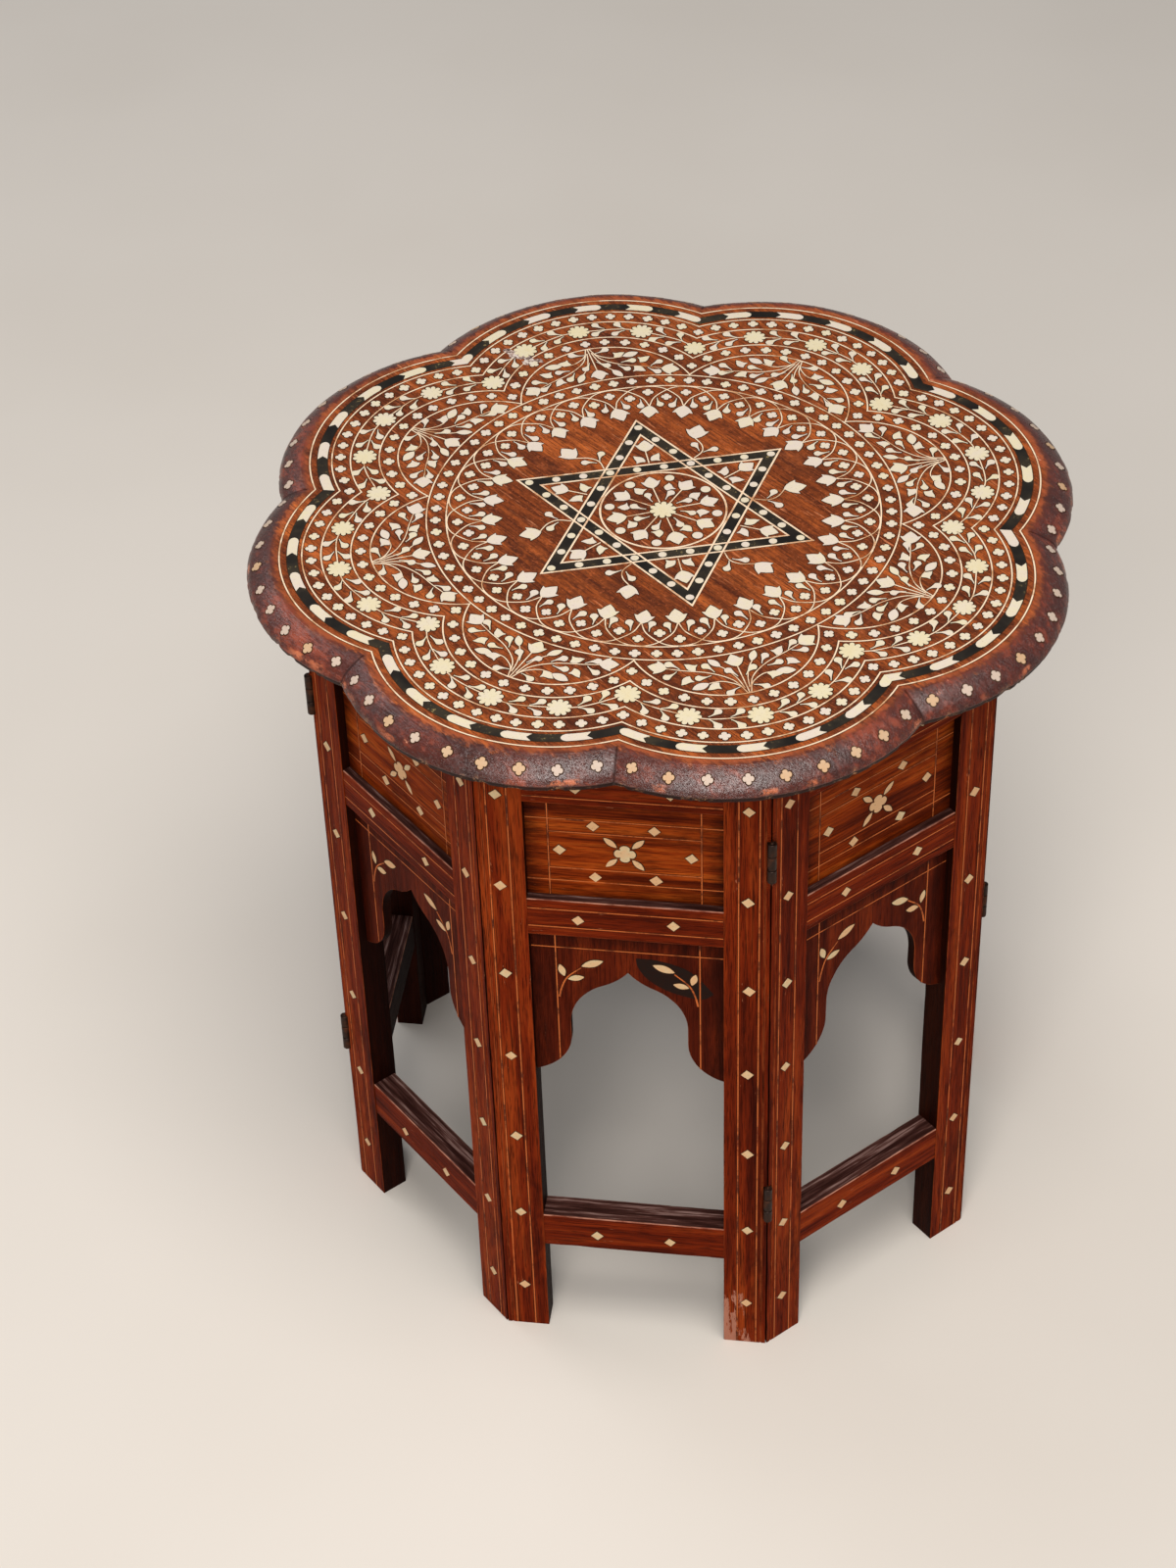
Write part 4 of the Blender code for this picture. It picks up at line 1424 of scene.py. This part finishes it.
SPRAY_BARBS = ((19.6, 22.6, -34, 1), (23.4, 19.4, -128, -1), (11.6, 11.2, -116, -1))


def draw_sprays(work):
    """A fan of stems with leaves and teardrops in each lobe."""
    for lobe in range(len(PANELS)):
        ray = polar(1, lobe_apex(lobe))
        root = ray * (LOBE_CENTRE_RADIUS + SPRAY_LINE)
        across = Vector((-ray.y, ray.x))
        growth = lobe_apex(lobe) + pi
        work.line([root, root - ray * SPRAY_TIP], STEM_WIDTH)
        work.stamp(ivy_leaf(9.6, 8.2), root - ray * SPRAY_TIP_LEAF, growth, *SPRAY_LEAF_SET)
        for side in (-1, 1):
            def at(x, y):
                return root + across * side * x - ray * y

            def lean(degrees):
                return growth + side * radians(degrees)

            for stem in SPRAY_STEMS:
                work.line(smooth([at(x, y) for x, y in stem]), STEM_WIDTH, 0.8)
            for leaf, length, width, x, y, degrees in SPRAY_LEAVES:
                work.stamp(leaf(length, width), at(x, y), lean(degrees), *SPRAY_LEAF_SET)
            for x, y, degrees, bend in SPRAY_DROPS:
                work.stamp(comma(side * bend), at(x, y), lean(degrees), *SPRAY_DROP_SET)
            for x, y, degrees, flip in SPRAY_BARBS:
                work.stamp(barbed_leaf(7.4, 6.2, flip * side), at(x, y), lean(degrees), *SPRAY_DROP_SET)


# Lift of the star's second triangle over its first, and of its dots over other bone
STAR_OVERLAP = 0.02
STAR_DOT_LIFT = 0.04
STAR_DOT_SIZE = 2.05
STAR_DOT_SPACING = 1.5


def star_loop(inradius, triangle):
    """Corners of one of the star's two triangles."""
    turn = STAR_TURN + triangle * pi / 3
    return [polar(2 * inradius, turn + corner * 2 * pi / 3) for corner in range(3)]


def draw_star(work):
    """Two interlaced ebony triangles between light lines, set with bone dots."""
    outer = STAR_TIP / 2
    inner = outer - STAR_BAND
    layers = (("filler", FILLER_LIFT, outer + 0.2, inner - 0.2),
              ("ebony", EBONY_LIFT, outer - STAR_LINE, inner + STAR_LINE),
              ("lines", LINE_LIFT, outer - STAR_LINE, outer), ("lines", LINE_LIFT, inner, inner + STAR_LINE))
    dots = []
    for triangle in (0, 1):
        for kind, lift, first, second in layers:
            loops = (star_loop(first, triangle), star_loop(second, triangle))
            work.band(kind, *loops, lift + STAR_OVERLAP * triangle)
        corners = star_loop((outer + inner) / 2, triangle)
        for corner in range(3):
            for step in range(STAR_DOTS):
                spot = corners[corner].lerp(corners[(corner + 1) % 3], step / STAR_DOTS)
                if all((spot - other).length > STAR_DOT_SPACING for other in dots):
                    dots.append(spot)
    for spot in dots:
        outline = turned(circle(STAR_DOT_SIZE, DISC_STEPS), spot, 0.0)
        work.tile("bone", outline, BONE_LIFT + STAR_DOT_LIFT, RANDOM.uniform(0, 0.3))
    for point in range(6):
        draw_point_sprig(work, STAR_TURN + point * pi / 3)
        draw_outer_sprig(work, STAR_TURN + (point + 0.5) * pi / 3)


def draw_point_sprig(work, angle):
    """A leaf and two barbs inside one point of the star."""
    across = polar(1, angle + pi / 2)
    work.line([polar(40.2, angle), polar(51.0, angle)], STEM_WIDTH)
    work.stamp(ivy_leaf(9.6, 8.2), polar(50.0, angle), angle, *STAR_LEAF_SET)
    for side in (-1, 1):
        start = polar(41.6, angle) + across * side * 1.6
        work.stamp(barbed_leaf(8.0, 6.4, side), start, angle + side * radians(48), *STAR_DROP_SET)


def draw_outer_sprig(work, angle):
    """A leaf on a bent stem with two teardrops, in a hollow of the star."""
    across = polar(1, angle + pi / 2)
    leaf = angle + radians(5)
    stem = [polar(46.0, angle), polar(52.5, angle + radians(-2.2)), polar(58.0, angle), polar(63.0, leaf)]
    work.line(smooth(stem), STEM_WIDTH)
    work.stamp(ivy_leaf(11.4, 9.4), polar(62.4, leaf), leaf, *STAR_LEAF_SET)
    for side in (-1, 1):
        start = polar(52.4, angle) + across * (side * 1.2 - 1.6)
        work.stamp(comma(-side), start, angle + side * radians(30), *STAR_DROP_SET)


def draw_medallion(work):
    """A rosette with eight leaves on stems, and barbs, dots and teardrops between them."""
    work.ring(circle, MEDALLION_RADIUS, 1.0)
    work.stamp(rosette(6.4), Vector((0, 0)), 0.0, 0.35)
    for step in range(8):
        between = step * pi / 4
        angle = between + pi / 8
        work.line([polar(6.4, angle), polar(20.0, angle)], STEM_WIDTH)
        work.stamp(ivy_leaf(10.0, 8.4), polar(18.8, angle), angle, *MEDALLION_LEAF_SET)
        work.stamp(circle(2.5, DISC_STEPS), polar(26.9, between), between, 0.1)
        work.stamp(comma(1), polar(8.4, between), between, *MEDALLION_DROP_SET)
        work.stamp(barbed_leaf(6.6, 7.0), polar(16.4, between), between, *MEDALLION_DROP_SET)


SCUFF_PLACE = Vector((-88.0, 126.5))
SCUFF_REACH = (14.0, 6.0)
SCUFF_ANGLE = radians(-28)
SCUFF_TEARS = 22
TEAR_SIZE = (1.2, 3.2)
TEAR_RAGGED = (0.45, 1.2)
TEAR_STRETCH = 1.5
TEAR_CORNERS = 9


def draw_scuff(work):
    """Torn patches round one rosette at the back left."""
    along = polar(1, SCUFF_ANGLE)
    across = Vector((-along.y, along.x))
    for tear in range(SCUFF_TEARS):
        spot = SCUFF_PLACE + along * RANDOM.gauss(0, SCUFF_REACH[0] / 2)
        spot += across * RANDOM.gauss(0, SCUFF_REACH[1] / 2)
        size = RANDOM.uniform(*TEAR_SIZE)
        corners = []
        for corner in range(TEAR_CORNERS):
            edge = polar(size * RANDOM.uniform(*TEAR_RAGGED), 2 * pi * corner / TEAR_CORNERS)
            corners.append(spot + along * edge.x * TEAR_STRETCH + across * edge.y)
        work.tile("scuff", corners, LINE_LIFT + LIFT_SPREAD)


RIM_DOTS = 9
RIM_DOT_SIZE = 2.8
RIM_DOT_SHARE = 0.44
RIM_DOT_TONES = (0.0, 0.1, 0.8)


def draw_rim(work):
    """Bone quatrefoils on the slope of the edge, bent to its curve."""
    drop = TOP_Z - RIM_LIP_Z
    length = hypot(RIM_SLOPE_WIDTH, drop)
    half = half_arc(RIM_RADIUS - RIM_SLOPE_WIDTH / 2)
    for lobe in range(len(PANELS)):
        for step in range(RIM_DOTS):
            middle = half * (2 * (step + 0.5) / RIM_DOTS - 1)

            def on_rim(point, lift):
                radius, z = rim_curve(RIM_DOT_SHARE + point.y / length)
                turn = middle + point.x / radius
                spot = lobe_point(lobe, radius, turn)
                lift += rim_wave(Vector((spot.x, spot.y, z)))
                spot = lobe_point(lobe, radius + lift * drop / length, turn)
                return Vector((spot.x, spot.y, z + lift * RIM_SLOPE_WIDTH / length))

            work.surface = on_rim
            tone = RANDOM.choice(RIM_DOT_TONES)
            work.stamp(flower(RIM_DOT_SIZE), Vector((0, 0)), pi / 2, tone, 14.0, 0.5, "shaded_rim_bone")


def add_top():
    add_top_board()
    work = Marquetry()
    work.surface = top_face
    for draw in (draw_lobed_lines, draw_border, draw_dots, draw_vine, draw_scrolls, draw_sprays, draw_star,
                 draw_medallion, draw_scuff, draw_rim):
        draw(work)
    materials = {"bone": (BONE, "bone"), "shaded_rim_bone": (SHADED_RIM_BONE, "bone"), "lines": (TOP_STRING, "bone"),
                 "ebony": (EBONY, "ebony"), "filler": (FILLER, None), "scuff": (SCUFF, None)}
    stands_for = {"ebony": ("border_band", "star_band"), "lines": ("medallion_ring",)}
    work.finish("top_inlay", "top", Matrix(), materials, stands_for)


# Studio, in metres and watts

def add_camera():
    data = bpy.data.cameras.new("camera")
    data.lens = CAMERA_LENS
    camera = add_object("camera", data)
    aim = Matrix.Rotation(CAMERA_PAN, 4, "Z") @ Matrix.Rotation(CAMERA_TILT, 4, "X")
    aim = aim @ Matrix.Rotation(CAMERA_ROLL, 4, "Y") @ Matrix.Rotation(pi / 2, 4, "X")
    camera.matrix_world = Matrix.Translation(CAMERA_PLACE * MM) @ aim
    bpy.context.scene.camera = camera


def add_light(name, place, target, size, power, colour):
    data = bpy.data.lights.new(name, "AREA")
    data.shape = "DISK"
    data.size = size
    data.energy = power
    data.color = colour
    light = add_object(name, data)
    light.location = place
    light.rotation_mode = "QUATERNION"
    light.rotation_quaternion = (Vector(target) - Vector(place)).to_track_quat("-Z", "Y")


def add_floor():
    bm = bmesh.new()
    bmesh.ops.create_grid(bm, x_segments=8, y_segments=8, size=20.0)
    mesh = finished_mesh(bm, "floor")
    mesh.materials.append(floor_paint())
    ground = add_object("floor", mesh)


def add_world():
    world = bpy.data.worlds.new("studio")
    world.use_nodes = True
    sky = world.node_tree.nodes["Background"]
    sky.inputs["Color"].default_value = (0.92, 0.95, 1.0, 1.0)
    sky.inputs["Strength"].default_value = 0.27
    bpy.context.scene.world = world


add_camera()
add_floor()
add_world()
add_light("overhead", (0.30, -0.70, 2.4), (0.0, 0.0, 0.35), 1.3, 36.0, (1.0, 0.97, 0.93))
add_light("front", (0.0, -2.05, 2.1), (0.0, 0.0, 0.25), 1.15, 37.0, (1.0, 0.97, 0.94))
add_light("back", (-1.7, 1.0, 2.2), (0.0, 0.0, 0.35), 1.6, 14.0, (0.95, 0.97, 1.0))
bpy.context.scene.view_settings.view_transform = "Standard"
for number in range(len(PANELS)):
    add_panel(number)
add_top()

bpy.context.view_layer.update()
